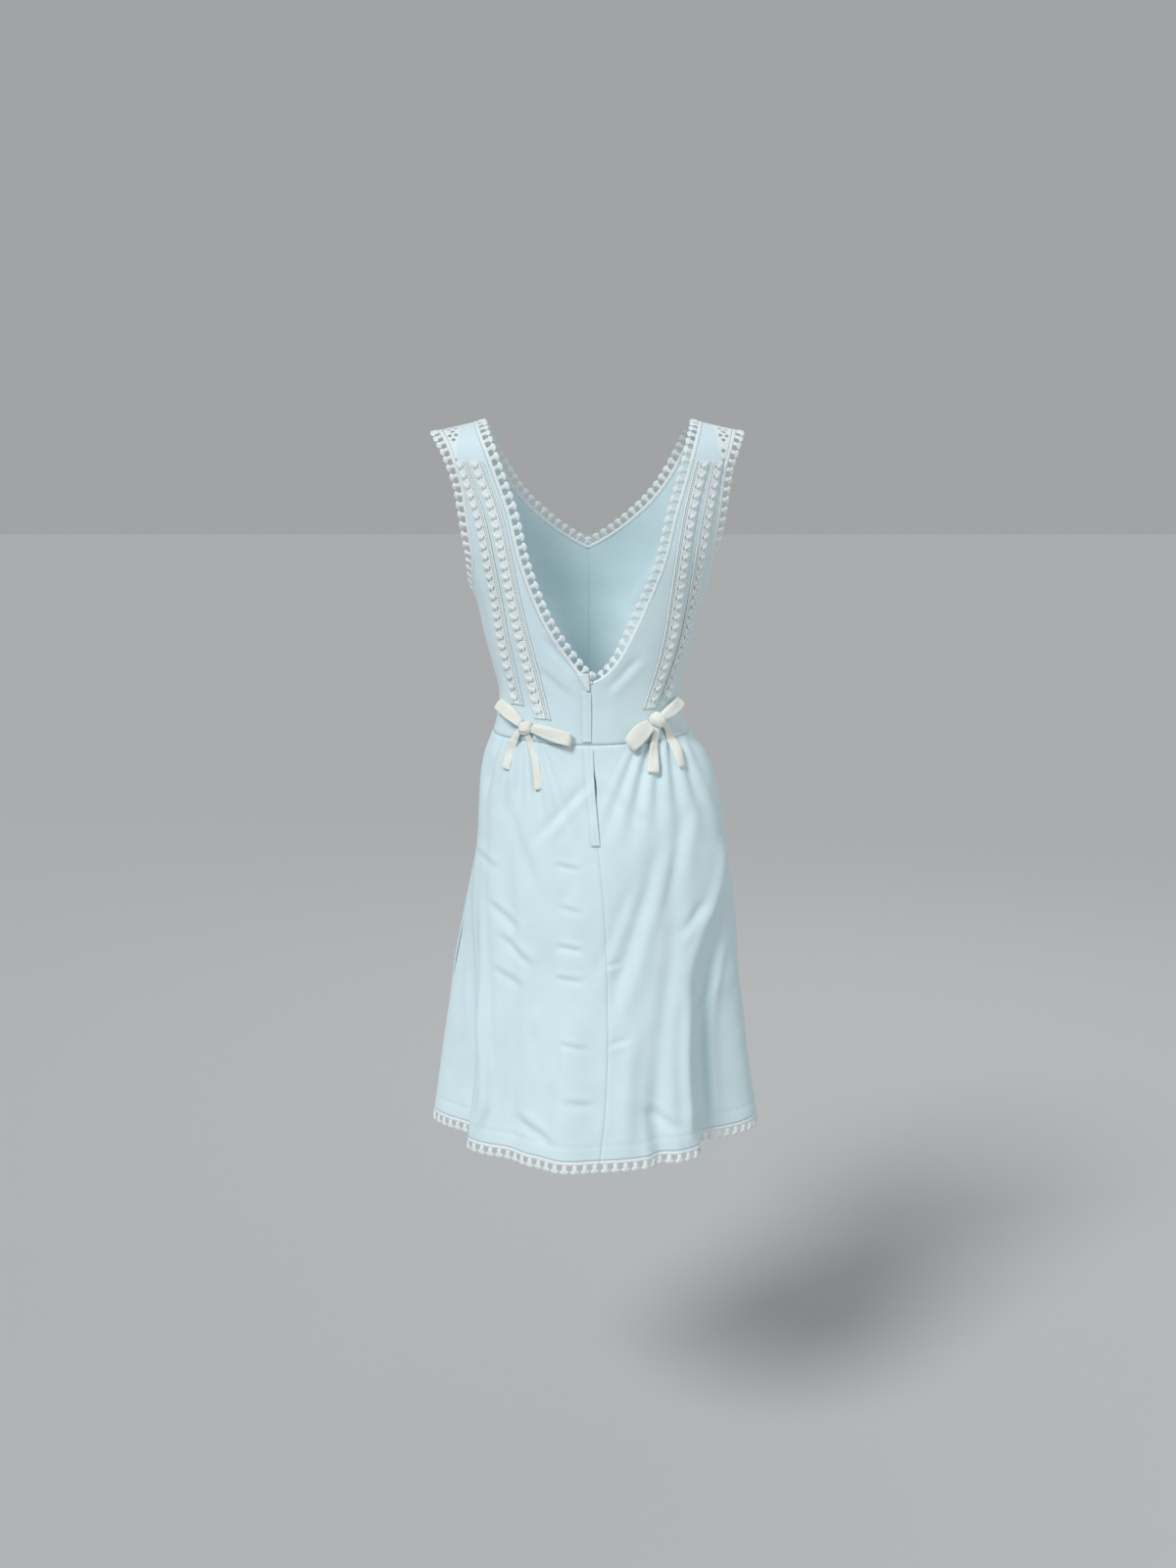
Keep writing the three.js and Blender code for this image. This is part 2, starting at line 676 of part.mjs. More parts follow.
// A strip of changing width along a smooth line; across is its width direction.
function ribbon(points, widths, across, steps) {
  const line = new THREE.CatmullRomCurve3(points);
  const rows = Array.from({ length: steps + 1 }, (_, i) => {
    const t = i / steps;
    const tangent = line.getTangent(t);
    const way = across.clone().addScaledVector(tangent, -across.dot(tangent)).normalize();
    const normal = tangent.clone().cross(way).normalize();
    return [-0.5, 0.5].map((side) => (
      { point: line.getPoint(t).addScaledVector(way, side * widths(t)), normal }));
  });
  return { spots: rows.flat(), squares: gridSquares(steps + 1, 2) };
}

// A loop of the bow: out along the cloth, round its end and back above itself.
function bowLoop({ points, wide, stand }) {
  const low = points.map(([x, height, off]) => behind(x, height, off));
  const high = low.map((point) => point.clone().setY(point.y - stand)).reverse();
  const lead = low[low.length - 1].clone().sub(low[low.length - 2]).normalize();
  const end = low[low.length - 1].clone().add(high[0]).multiplyScalar(0.5);
  const across = new THREE.Vector3(0, -1, 0).cross(low[2].clone().sub(low[0])).normalize();
  const line = [...low, end.addScaledVector(lead, stand / 2), ...high];
  return wall(ribbon(line, alongList([...wide, ...[...wide].reverse()]), across, 14), clothWall);
}

// A tail hangs on the skirt: its two edges are points of the cloth, moved out.
function bowTail({ points, wide, off }) {
  const steps = 8;
  const line = new THREE.CatmullRomCurve3(points.map(([x, height]) => new THREE.Vector3(x, 0, height)));
  const spots = Array.from({ length: steps + 1 }, (_, i) => {
    const tangent = line.getTangent(i / steps);
    return [-0.5, 0.5].map((side) => {
      const reach = side * alongList(wide)(i / steps);
      const { x, z } = line.getPoint(i / steps).add(new THREE.Vector3(-tangent.z, 0, tangent.x).multiplyScalar(reach));
      return onCloth(angleAt(x, downAt(z), 'back'), downAt(z));
    });
  }).flat();
  return wall({ spots, squares: gridSquares(steps + 1, 2) }, clothWall, off);
}

function bowKnot(name, { at, size, turn }) {
  const knot = piece(name, new THREE.IcosahedronGeometry(1, 1).scale(...size), colours.ties);
  knot.position.copy(behind(...at));
  knot.rotation.y = degrees(turn);
  return knot;
}

function bow(side) {
  const group = new THREE.Group();
  const { knot, loops, tails } = bows[side];
  group.add(bowKnot(`bow_${side}_knot`, knot));
  for (const [name, shape] of Object.entries(loops)) {
    group.add(piece(`bow_${side}_loop_${name}`, bowLoop(shape), colours.ties));
  }
  for (const [name, shape] of Object.entries(tails)) {
    group.add(piece(`bow_${side}_tail_${name}`, bowTail(shape), colours.ties));
  }
  return group;
}

const dress = new THREE.Group();
dress.name = 'wedding_dress';
dress.add(bodice(), skirt(), neckEdging(), laceBands(), closure());
for (const side of ['left', 'right']) {
  dress.add(armholeEdging(side), shoulderLace(side), bow(side));
}

export default dress;
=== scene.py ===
import math

import bpy
import numpy as np
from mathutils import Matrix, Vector


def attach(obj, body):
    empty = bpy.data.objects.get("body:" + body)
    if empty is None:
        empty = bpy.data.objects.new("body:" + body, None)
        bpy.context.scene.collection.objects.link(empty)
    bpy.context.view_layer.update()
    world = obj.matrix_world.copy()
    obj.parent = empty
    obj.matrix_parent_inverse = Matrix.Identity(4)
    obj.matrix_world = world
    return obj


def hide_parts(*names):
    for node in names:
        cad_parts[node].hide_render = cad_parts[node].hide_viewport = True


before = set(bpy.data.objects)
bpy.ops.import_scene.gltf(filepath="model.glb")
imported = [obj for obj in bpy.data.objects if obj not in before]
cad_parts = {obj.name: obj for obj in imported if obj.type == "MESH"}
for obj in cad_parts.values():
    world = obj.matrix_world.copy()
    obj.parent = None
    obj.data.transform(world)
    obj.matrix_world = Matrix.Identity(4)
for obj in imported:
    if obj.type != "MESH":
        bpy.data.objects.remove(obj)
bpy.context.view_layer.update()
print("frame loaded")

mm = 0.001
left, right = -1, 1
sideAngle = math.pi / 2

# The worn surface.

dress = {
    "shoulderHeight": 6,
    "archHeight": 56,      # fall of the strap while it turns over the shoulder
    "archLength": 90,
    "strapInner": 147,
    "shoulderSlope": 0.25,
    "slopeReach": 140,
    "underarm": 262,       # these are distances down the cloth from the shoulder line
    "backPoint": 358,
    "frontPoint": 196,
    "waist": 428,
    "hipLevel": 560,
    "hem": 945,
    "waistDip": 10,        # seams hang lower at the centre back than at the sides
    "hemDip": 4,
    "laceFull": 66,
    "laceTip": 80,
    "laceEnd": 88,
    "clothWall": 1.3,
    "roundRadius": 150,    # turns an angle into a distance round the figure
}

# height, half width, depth at the back and the front, shift sideways, roundness
figureRows = np.array([
    [10, 216, 84, 72, 0, 2.2],
    [-50, 206, 86, 80, 0, 2.2],
    [-110, 190, 92, 94, 1, 2.2],
    [-150, 175, 95, 108, 1, 2.2],
    [-185, 158, 96, 118, 1, 2.2],
    [-222, 144, 95, 124, 1, 2.2],
    [-262, 135, 91, 118, 1, 2.2],
    [-300, 125, 86, 106, 1, 2.2],
    [-337, 117.5, 82, 97, 2, 2.2],
    [-370, 121.5, 82, 95, 2, 2.2],
    [-388, 128, 83, 95, 4, 2.2],
    [-415, 143, 88, 95, 9, 2.2],
    [-454, 154, 98, 97, 14, 2.15],
    [-533, 167, 117, 104, 17, 2.1],
    [-613, 180, 129, 113, 14, 2.0],
    [-694, 189, 141, 124, 11, 1.95],
    [-789, 201, 160, 140, 9, 1.85],
    [-900, 218, 184, 160, 9, 1.75],
    [-935, 222, 190, 166, 10, 1.75],
])[::-1]

# degrees round at the top and the hem, heights where it starts and settles, depth, two widths
mainFolds = [
    [-84, -68, -430, -800, 34, 13, 24],
    [84, 56, -500, -720, 38, 13, 26],
    [-38, -38, -640, -900, 9, 13, 13],
    [-12, -12, -640, -900, -9, 14, 14],
    [28, 28, -760, -900, 10, 8, 8],
    [146, 138, -470, -850, 20, 15, 13],
    [-150, -140, -500, -850, 18, 14, 13],
    [180, 176, -560, -900, -9, 18, 16],
]


# Cubic through the rows of a table; each row's slope is that of the chord between its neighbours.
def curveThrough(rows, column, at):
    keys, values = rows[:, 0], rows[:, column]
    last = len(keys) - 1
    at = np.clip(at, keys[0], keys[-1])
    below, above = np.maximum(np.arange(last + 1) - 1, 0), np.minimum(np.arange(last + 1) + 1, last)
    slope = (values[above] - values[below]) / (keys[above] - keys[below])
    k = np.clip(np.searchsorted(keys, at) - 1, 0, last - 1)
    span, rise = keys[k + 1] - keys[k], values[k + 1] - values[k]
    t = (at - keys[k]) / span
    bend = (1 - t) * slope[k] - t * slope[k + 1]
    return values[k] + rise * t + t * (1 - t) * (bend * span + rise * (2 * t - 1))


def smooth(start, end, at):
    t = np.clip((at - start) / (end - start), 0, 1)
    return t * t * (3 - 2 * t)


def bell(distance, width):
    return np.exp(-((distance / width) ** 2))


# Height falls by a quarter turn over the shoulder, then straight down.
def heightAt(down):
    top = dress["shoulderHeight"] - dress["archHeight"]
    turned = top + dress["archHeight"] * np.cos(sideAngle * np.minimum(down / dress["archLength"], 1))
    return turned - np.maximum(down - dress["archLength"], 0)


# Each main fold is a hollow with two unequal cosine slopes, which moves round as it falls.
def foldDepth(angle, height):
    depth = np.zeros(np.broadcast(angle, height).shape)
    for top, low, start, settle, deep, near, far in mainFolds:
        middle = np.radians(top + (low - top) * smooth(start, settle, height))
        turn = angle - middle
        away = np.arctan2(np.sin(turn), np.cos(turn)) * np.sign(middle)
        share = np.minimum(np.abs(away) / np.radians(np.where(away < 0, near, far)), 1)
        depth = depth + deep * smooth(start, -900, height) * (0.5 + 0.5 * np.cos(np.pi * share))
    return depth


# A point of the worn surface: a superellipse round the figure, bent over at the shoulders.
def place(angle, down):
    height = heightAt(down)
    half, back, front, shift, curve = (curveThrough(figureRows, k, height) for k in range(1, 6))
    depth = np.where(np.cos(angle) > 0, back, front)
    across, through = np.abs(np.sin(angle)) / half, np.abs(np.cos(angle)) / depth
    radius = (across**curve + through**curve) ** (-1 / curve) - foldDepth(angle, height)
    x = radius * np.sin(angle)
    fading = np.maximum(0, 1 - down / dress["slopeReach"]) ** 2
    slope = dress["shoulderSlope"] * (np.abs(x) - dress["strapInner"]) * fading
    atWaist = smooth(300, dress["waist"], down) * (1 - smooth(dress["waist"], dress["hipLevel"], down))
    dip = dress["waistDip"] * atWaist + dress["hemDip"] * smooth(dress["hipLevel"], dress["hem"], down)
    arch = np.sin(sideAngle * np.minimum(down / dress["archLength"], 1))
    y = -radius * np.cos(angle) * arch
    return np.stack([shift + x, y, height - slope - np.cos(angle) * dip], -1)


def unit(vectors):
    return vectors / np.maximum(np.linalg.norm(vectors, axis=-1, keepdims=True), 1e-9)


# Out of the cloth: along crossed with across, from small steps both ways.
def outward(angle, down):
    across = place(angle + 0.004, down) - place(angle - 0.004, down)
    along = place(angle, down + 0.8) - place(angle, np.maximum(down - 0.8, 0))
    return unit(np.cross(along, across))


def angleAt(x, down, face):
    height = heightAt(down)
    half, back, front, shift, curve = (curveThrough(figureRows, k, height) for k in range(1, 6))
    depth = back if face == "back" else front
    across = np.minimum(np.abs(x - shift) / half, 1)
    turn = np.arctan2(np.abs(x - shift), depth * (1 - across**curve) ** (1 / curve))
    return np.sign(x - shift) * (turn if face == "back" else np.pi - turn)


# Creases, gathers and seam grooves, as millimetres out of the surface.

# Long folds follow x as a curve of the height: rows of height and x, then width and depth.
backFolds = [
    ([[-900, -146], [-856, -134], [-739, -138], [-663, -142], [-589, -146], [-515, -144], [-403, -135]],
     7, -3.2),
    ([[-900, 131], [-799, 125], [-745, 128], [-698, 134], [-640, 146], [-578, 171], [-521, 176]], 8, -3.6),
    ([[-900, 158], [-799, 150], [-745, 152], [-698, 157], [-640, 168]], 8, 3.0),
    ([[-880, -104], [-760, -98], [-640, -99], [-540, -104], [-440, -96]], 11, 1.8),
    ([[-890, 84], [-780, 92], [-690, 103], [-600, 112], [-480, 113]], 12, 1.8),
    ([[-905, -60], [-820, -52], [-730, -47], [-640, -52]], 13, 1.7),
    ([[-905, 48], [-830, 50], [-740, 60]], 12, -1.6),
    ([[-340, -104], [-250, -121], [-160, -140]], 6, -0.9),
    ([[-330, 98], [-240, 116], [-170, 133]], 6, -0.9),
]

frontFolds = [
    ([[-905, -138], [-760, -128], [-600, -118], [-450, -100]], 11, -2.8),
    ([[-905, 128], [-760, 122], [-620, 116], [-480, 104]], 12, -2.6),
    ([[-900, -64], [-760, -54], [-600, -50]], 13, 2.0),
    ([[-900, 58], [-780, 66], [-650, 62], [-520, 56]], 12, 1.9),
    ([[-900, 4], [-780, -6], [-680, -2]], 13, -1.8),
    ([[-360, -72], [-290, -78], [-215, -74]], 9, 1.2),
    ([[-360, 74], [-280, 79], [-220, 73]], 9, 1.2),
]

# Short creases are straight: from x and height to x and height, width, depth.
backCreases = np.array([
    [96, -512, 24, -742, 12, 2.4],
    [60, -560, 6, -690, 9, 1.1],
    [2, -442, -66, -516, 7, 1.7],
    [10, -446, 74, -500, 8, 1.0],
    [-42, -546, -12, -552, 4, 1.2],
    [-38, -598, -8, -606, 4, 0.9],
    [-40, -648, -8, -653, 4, 1.5],
    [-42, -688, -6, -691, 4, 1.3],
    [42, -668, 22, -672, 4, 0.9],
    [-36, -768, -2, -774, 4, 1.2],
    [52, -764, 27, -769, 4, 1.0],
    [-30, -838, 6, -843, 5, 1.2],
    [-128, -602, -92, -630, 6, 1.6],
    [-116, -640, -72, -676, 6, 1.8],
    [-124, -684, -84, -704, 6, 1.3],
    [-66, -752, -66, -806, 5, 1.2],
    [-38, -770, -38, -806, 5, 1.0],
    [-92, -868, -46, -892, 7, 1.8],
    [70, -850, 116, -884, 7, 1.6],
    [-104, -476, -60, -590, 9, 1.3],
    [128, -470, 96, -620, 9, 1.2],
    [-56, -262, -16, -307, 6, 1.5],
    [-66, -300, -22, -338, 6, 0.9],
    [66, -286, 24, -330, 6, 1.2],
    [-112, -300, -84, -352, 5, 0.9],
    [112, -300, 92, -350, 5, 0.9],
    [-150, -545, -118, -558, 6, 1.2],
    [150, -600, 118, -640, 7, 1.5],
    [160, -700, 136, -760, 7, 1.5],
    [-168, -600, -176, -780, 9, 2.0],
    [-160, -780, -188, -860, 7, 1.4],
])

frontCreases = np.array([
    [-92, -510, -28, -730, 12, 2.0],
    [86, -470, 46, -600, 10, 1.5],
    [8, -450, 60, -512, 8, 1.3],
    [-16, -446, -70, -498, 8, 1.2],
    [112, -640, 72, -690, 7, 1.5],
    [-118, -600, -84, -650, 7, 1.4],
    [-66, -842, -20, -868, 7, 1.6],
    [36, -800, 84, -836, 7, 1.5],
    [-96, -180, -62, -236, 8, 1.3],
    [96, -178, 60, -232, 8, 1.2],
    [-62, -296, -24, -350, 7, 1.0],
    [58, -290, 26, -352, 7, 1.0],
    [150, -560, 122, -600, 7, 1.4],
    [-150, -640, -122, -700, 7, 1.5],
])

# Gathers fan out below a point: x and height of the point, its face, their number and depth.
gatherFans = [
    {"x": -84, "height": -384, "face": 1, "number": 15, "depth": 2.4},
    {"x": 92, "height": -382, "face": 1, "number": 15, "depth": 2.4},
    {"x": -62, "height": -382, "face": -1, "number": 12, "depth": 1.5},
    {"x": 66, "height": -382, "face": -1, "number": 12, "depth": 1.5},
]

noiseTable = np.random.default_rng(11).uniform(-1, 1, (64, 64))


# Smooth uneven height: random values on a square net of one size, eased between the corners.
def unevenness(across, along, size, start):
    u, v = across / size + start, along / size + start * 1.7
    i, j = np.floor(u).astype(int), np.floor(v).astype(int)
    a, b = smooth(0, 1, u - i), smooth(0, 1, v - j)
    corner = [[noiseTable[(i + p) % 64, (j + q) % 64] for q in (0, 1)] for p in (0, 1)]
    low, high = (row[0] * (1 - b) + row[1] * b for row in corner)
    return low * (1 - a) + high * a


# One side of a crease drops and the other rises, each as a bell; 1.7 deepens them all alike.
def creaseProfile(off, width, depth):
    return 1.7 * depth * (0.6 * bell(off - 1.35 * width, width) - bell(off, width))


def foldRelief(x, z, folds, creases):
    relief = np.zeros(x.shape)
    for rows, width, depth in folds:
        rows = np.array(rows, float)
        off = x - curveThrough(rows, 1, z)
        low, high = rows[0, 0], rows[-1, 0]
        fade = smooth(low - 20, low + 40, z) * (1 - smooth(high - 45, high + 5, z))
        relief = relief + creaseProfile(off, width, depth) * fade
    for x0, z0, x1, z1, width, depth in creases:
        length = math.hypot(x1 - x0, z1 - z0)
        along = ((x - x0) * (x1 - x0) + (z - z0) * (z1 - z0)) / length
        off = ((z - z0) * (x1 - x0) - (x - x0) * (z1 - z0)) / length
        ease = 0.3 * length
        fade = smooth(-ease / 2, ease, along) * (1 - smooth(length - ease, length + ease / 2, along))
        relief = relief + creaseProfile(off, width, depth) * fade
    return relief


# Pleats are a cosine of the direction from the fan's point, deepest a little way below the seam.
def gatherRelief(x, z, facing):
    relief = np.zeros(x.shape)
    for fan in gatherFans:
        fall = np.maximum(fan["height"] + 60 - z, 1)
        turn = (x - fan["x"]) / fall
        pleats = np.cos(fan["number"] * turn * 2.1 + 1.4 * np.sin(3.3 * turn) + fan["x"])
        width = 1 - smooth(0.30, 0.62, np.abs(turn))
        below = smooth(58, 84, fall) * (1 - smooth(110, 235, fall))
        relief = relief + fan["depth"] * pleats * width * below * smooth(0, 0.3, fan["face"] * facing)
    return relief


def centreX(down):
    return curveThrough(centreRows, 1, down)


centreRows = np.array([
    [358, 3], [430, 3], [465, 6], [516, 9], [560, 12], [640, 20], [780, 25], [880, 22], [963, 13]], float)


# Seams are narrow grooves with a slight swelling at each side.
def seamGroove(distance, depth):
    return -depth * bell(distance, 1.7) + 0.3 * depth * bell(np.abs(distance) - 5, 2.6)


def reliefAt(angle, down, base):
    x, z = base[..., 0], base[..., 2]
    facing = np.cos(angle)
    skirtShare = smooth(dress["waist"] - 40, dress["waist"] + 60, down)
    relief = foldRelief(x, z, backFolds, backCreases) * smooth(0, 0.28, facing)
    relief = relief + foldRelief(x, z, frontFolds, frontCreases) * smooth(0, 0.28, -facing)
    relief = relief + gatherRelief(x, z, facing)
    arc = angle * dress["roundRadius"]
    relief = relief + (0.7 + 0.9 * skirtShare) * unevenness(arc, down * 0.55, 46, 3.1)
    relief = relief + (0.22 + 0.4 * skirtShare) * unevenness(arc, down * 0.7, 17, 9.4)
    side = np.abs(np.abs(angle) - sideAngle) * dress["roundRadius"]
    centre = np.where(facing > 0, np.abs(x - centreX(down)), 99)
    relief = relief + seamGroove(side, 0.6) * smooth(dress["underarm"], dress["underarm"] + 20, down)
    relief = relief + seamGroove(centre, 0.55) * smooth(dress["backPoint"], dress["backPoint"] + 6, down)
    relief = relief + seamGroove(down - dress["waist"], 0.8)
    relief = relief + seamGroove(down - dress["hem"] + 17, 0.5)
    return relief * smooth(-1, 60, down)


# Point and outward direction on the creased cloth, moved out by lift.
def onCloth(angle, down, lift=0.0):
    angle, down = np.broadcast_arrays(np.asarray(angle, float), np.asarray(down, float))
    base, normal = place(angle, down), outward(angle, down)
    return base + normal * (reliefAt(angle, down, base) + lift)[..., None], normal


# Meshes from grids and rings.

# Squares of a rows by columns grid; wrapRows and wrapColumns join the last to the first.
def gridFaces(rows, columns, wrapRows=False, wrapColumns=False):
    i, j = np.meshgrid(np.arange(rows if wrapRows else rows - 1),
                       np.arange(columns if wrapColumns else columns - 1), indexing="ij")
    k, m = (i + 1) % rows, (j + 1) % columns
    corners = [i * columns + j, i * columns + m, k * columns + m, k * columns + j]
    return np.stack([corner.ravel() for corner in corners], -1)


def joinParts(parts):
    points, faces, count = [], [], 0
    for partPoints, partFaces in parts:
        points.append(partPoints.reshape(-1, 3))
        faces += [[index + count for index in face] for face in partFaces]
        count += len(points[-1])
    return np.concatenate(points), faces


# Turns the squares over if their summed normal runs the wrong way along an axis.
def turnTowards(points, faces, axis, sign):
    corner = points[faces]
    summed = np.cross(corner[:, 2] - corner[:, 0], corner[:, 3] - corner[:, 1]).sum(axis=0)
    return faces if summed[axis] * sign > 0 else faces[:, ::-1]


# Rings of points along a line, closed round and with a flat cap at both ends.
def cappedRings(rings):
    count, around = rings.shape[:2]
    faces = gridFaces(count, around, wrapColumns=True).tolist()
    faces.append(list(range(around))[::-1])
    faces.append(list(range((count - 1) * around, count * around)))
    return rings.reshape(-1, 3), faces


def makePiece(name, points, faces, material, nodes, wall=0.0, uv=None):
    mesh = bpy.data.meshes.new(name)
    mesh.from_pydata((points * mm).tolist(), [], faces if isinstance(faces, list) else faces.tolist())
    if uv is not None:
        loops = np.empty(len(mesh.loops), dtype=np.int32)
        mesh.loops.foreach_get("vertex_index", loops)
        mesh.uv_layers.new(name="weave").data.foreach_set("uv", (uv * mm)[loops].astype(np.float32).ravel())
    mesh.polygons.foreach_set("use_smooth", np.ones(len(mesh.polygons), dtype=bool))
    mesh.materials.append(material)
    mesh.update()
    made = bpy.data.objects.new(name, mesh)
    bpy.context.scene.collection.objects.link(made)
    if wall:
        thick = made.modifiers.new("wall", "SOLIDIFY")
        thick.thickness = wall * mm
        thick.offset = 0
    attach(made, "root")
    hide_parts(*nodes)
    return made


# Area of a surface of squares, in square metres, from the cross product of the diagonals.
def areaOf(points, faces):
    a, b, c, d = (points[faces[:, k]] * mm for k in range(4))
    return float(np.linalg.norm(np.cross(c - a, d - b), axis=1).sum() / 2)


# Materials.

def linear(hexColour):
    parts = [int(hexColour[i:i + 2], 16) / 255 for i in (1, 3, 5)]
    return (*[p / 12.92 if p <= 0.04045 else ((p + 0.055) / 1.055) ** 2.4 for p in parts], 1)


def addNode(tree, kind, settings=(), links=()):
    node = tree.nodes.new(kind)
    for key, value in dict(settings).items():
        if isinstance(key, int) or key in node.inputs:
            node.inputs[key].default_value = value
        else:
            setattr(node, key, value)
    for key, source in dict(links).items():
        tree.links.new(source, node.inputs[key])
    return node


def newMaterial(name, roughness, sheen):
    material = bpy.data.materials.new(name)
    material.use_nodes = True
    tree = material.node_tree
    shader = tree.nodes["Principled BSDF"]
    shader.inputs["Roughness"].default_value = roughness
    shader.inputs["Sheen Weight"].default_value = sheen
    shader.inputs["Sheen Roughness"].default_value = 0.6
    shader.inputs["Specular IOR Level"].default_value = 0.3
    return material, tree, shader


# Woven crepe of viscose and cotton: matt, with a fine pebbled grain that breaks up the light.
# The real grain is about 0.5 mm; it is drawn at about 2 mm so that it shows.
def crepe(name, light, dark, grain, strength):
    material, tree, shader = newMaterial(name, 0.78, 0.12)
    uv = addNode(tree, "ShaderNodeUVMap", {"uv_map": "weave"})
    spread = addNode(tree, "ShaderNodeMapping", {"Scale": (1, 0.55, 1)}, {"Vector": uv.outputs["UV"]})
    pebbles = addNode(tree, "ShaderNodeTexNoise",
                      {"Scale": 1 / (grain * mm), "Detail": 3.0, "Roughness": 0.6},
                      {"Vector": spread.outputs["Vector"]})
    patches = addNode(tree, "ShaderNodeTexNoise", {"Scale": 1 / (34 * mm), "Detail": 2.0},
                      {"Vector": uv.outputs["UV"]})
    blend = addNode(tree, "ShaderNodeMix", {"data_type": "RGBA", 6: linear(dark), 7: linear(light)},
                    {0: patches.outputs["Fac"]})
    bump = addNode(tree, "ShaderNodeBump", {"Strength": strength, "Distance": 0.6 * mm},
                   {"Height": pebbles.outputs["Fac"]})
    tree.links.new(blend.outputs[2], shader.inputs["Base Color"])
    tree.links.new(bump.outputs["Normal"], shader.inputs["Normal"])
    return material


# Crocheted cotton: matt thread whose plies show as small knots, with painted light and shade: the colour is
# lighter on the knot tops and darker in the gaps between them.
# The real thread is about 0.7 mm; its knots are drawn at about 1.8 mm so that they show.
def crochetCotton(name, light, dark, knot):
    material, tree, shader = newMaterial(name, 0.82, 0.1)
    where = addNode(tree, "ShaderNodeTexCoord")
    knots = addNode(tree, "ShaderNodeTexVoronoi", {"Scale": 1 / (knot * mm)},
                    {"Vector": where.outputs["Object"]})
    knotHeightAndPaintedShade = addNode(tree, "ShaderNodeMapRange",
                   {"From Min": 0.05, "From Max": 0.75, "To Min": 1.0, "To Max": 0.25},
                   {"Value": knots.outputs["Distance"]})
    # Painted shade: the colour falls to the darker shade in the gaps between the knots, where the bump is low.
    blend = addNode(tree, "ShaderNodeMix", {"data_type": "RGBA", 6: linear(dark), 7: linear(light)},
                    {0: knotHeightAndPaintedShade.outputs["Result"]})
    bump = addNode(tree, "ShaderNodeBump", {"Strength": 0.5, "Distance": 0.6 * mm},
                   {"Height": knotHeightAndPaintedShade.outputs["Result"]})
    tree.links.new(blend.outputs[2], shader.inputs["Base Color"])
    tree.links.new(bump.outputs["Normal"], shader.inputs["Normal"])
    return material


# Moulded nylon and painted zinc: smooth, with a soft highlight.
def plainFinish(name, colour, roughness):
    material, _, shader = newMaterial(name, roughness, 0)
    shader.inputs["Base Color"].default_value = linear(colour)
    return material


clothCrepe = crepe("white crepe", "#D8EDF2", "#D0E6EC", 2.0, 0.35)
tieCrepe = crepe("cream crepe ribbon", "#F0F2EA", "#E3E8E0", 1.8, 0.4)
# The second colour is painted shade for the gaps between the crocheted knots.
crochet = crochetCotton("white crocheted cotton", "#F2FAFB", "#D6E2E5", 1.8)
zipTape = crepe("woven polyester tape", "#DDE2E0", "#CFD6D5", 1.2, 0.5)
zipNylon = plainFinish("moulded nylon", "#D9DEDC", 0.45)
print("materials made")

# Edges of the panels.

# down, x at the left, x at the right
backNeck = np.array([
    [0, 147, 147], [45, 139, 141], [102, 119, 127], [150, 102, 113], [210, 87, 98], [270, 65, 74],
    [307, 45, 56], [332, 26, 40], [350, 9, 21], [358, -3, 3]], float)
frontNeck = np.array([
    [0, 147, 147], [45, 138, 138], [90, 118, 118], [130, 90, 90], [165, 52, 52], [185, 22, 22],
    [196, 0, 0]], float)
backArmhole = np.array([
    [0, 185, 183], [25, 183, 182], [63, 171, 176], [88, 163, 170], [113, 155, 166], [140, 151, 163],
    [170, 147, 159], [200, 143, 154], [230, 141, 149]], float)
frontArmhole = np.array([
    [0, 185, 183], [30, 180, 178], [80, 158, 160], [130, 143, 145], [180, 137, 138], [230, 137, 138]], float)

sideColumn = {left: 1, right: 2}


# The table's line down to 200 mm, then a quarter ellipse into the side seam.
def armholeAngle(side, face, down):
    table = backArmhole if face == "back" else frontArmhole
    line = angleAt(side * curveThrough(table, sideColumn[side], down), down, face)
    share = np.clip((down - 200) / (dress["underarm"] - 200), 0, 1)
    return line + (side * sideAngle - line) * (1 - np.sqrt(1 - share**2))


def laceInnerAngle(side, face, down):
    along = np.minimum(down, dress["laceFull"])
    offset = 157 + ((163 if face == "back" else 154) - 157) * along / dress["laceFull"]
    line = angleAt(side * offset, along, face)
    meeting = armholeAngle(side, face, dress["laceEnd"])
    reach = np.clip((down - dress["laceFull"]) / (dress["laceEnd"] - dress["laceFull"]), 0, 1)
    return line + (meeting - line) * reach


def laceOuterAngle(side, face, down):
    full, end = dress["laceFull"], dress["laceEnd"]
    start, stop = armholeAngle(side, face, full), armholeAngle(side, face, end)
    share = np.clip((down - full) / (end - full), 0, 1)
    return np.where(down <= full, armholeAngle(side, face, down), start + (stop - start) * share)


def outerAngle(side, face, down):
    armhole, lace = armholeAngle(side, face, down), laceInnerAngle(side, face, down)
    upper = np.where(down >= dress["laceEnd"], armhole, lace)
    return np.where(down >= dress["underarm"], side * sideAngle, upper)


def backInner(side, down):
    edge = side * curveThrough(backNeck, sideColumn[side], down)
    return angleAt(np.where(down < dress["backPoint"], edge, centreX(down)), down, "back")


def frontInner(side, down):
    edge = angleAt(side * curveThrough(frontNeck, sideColumn[side], down), down, "front")
    return np.where(down >= dress["frontPoint"], side * np.pi, edge)


# The six panels of cloth.

panels = {
    "rowStep": 3.0,
    "edgeShares": [0, 0.006, 0.013, 0.022],
    "bodiceBackColumns": 46,
    "bodiceHalfColumns": 54,   # each half of the bodice front
    "skirtBackColumns": 88,
    "skirtFrontColumns": 172,
    "slitFrom": 444,
    "slitTo": 520,
    "slitOpen": 3.6,   # how far the edge of the slit stands off the seam line
}


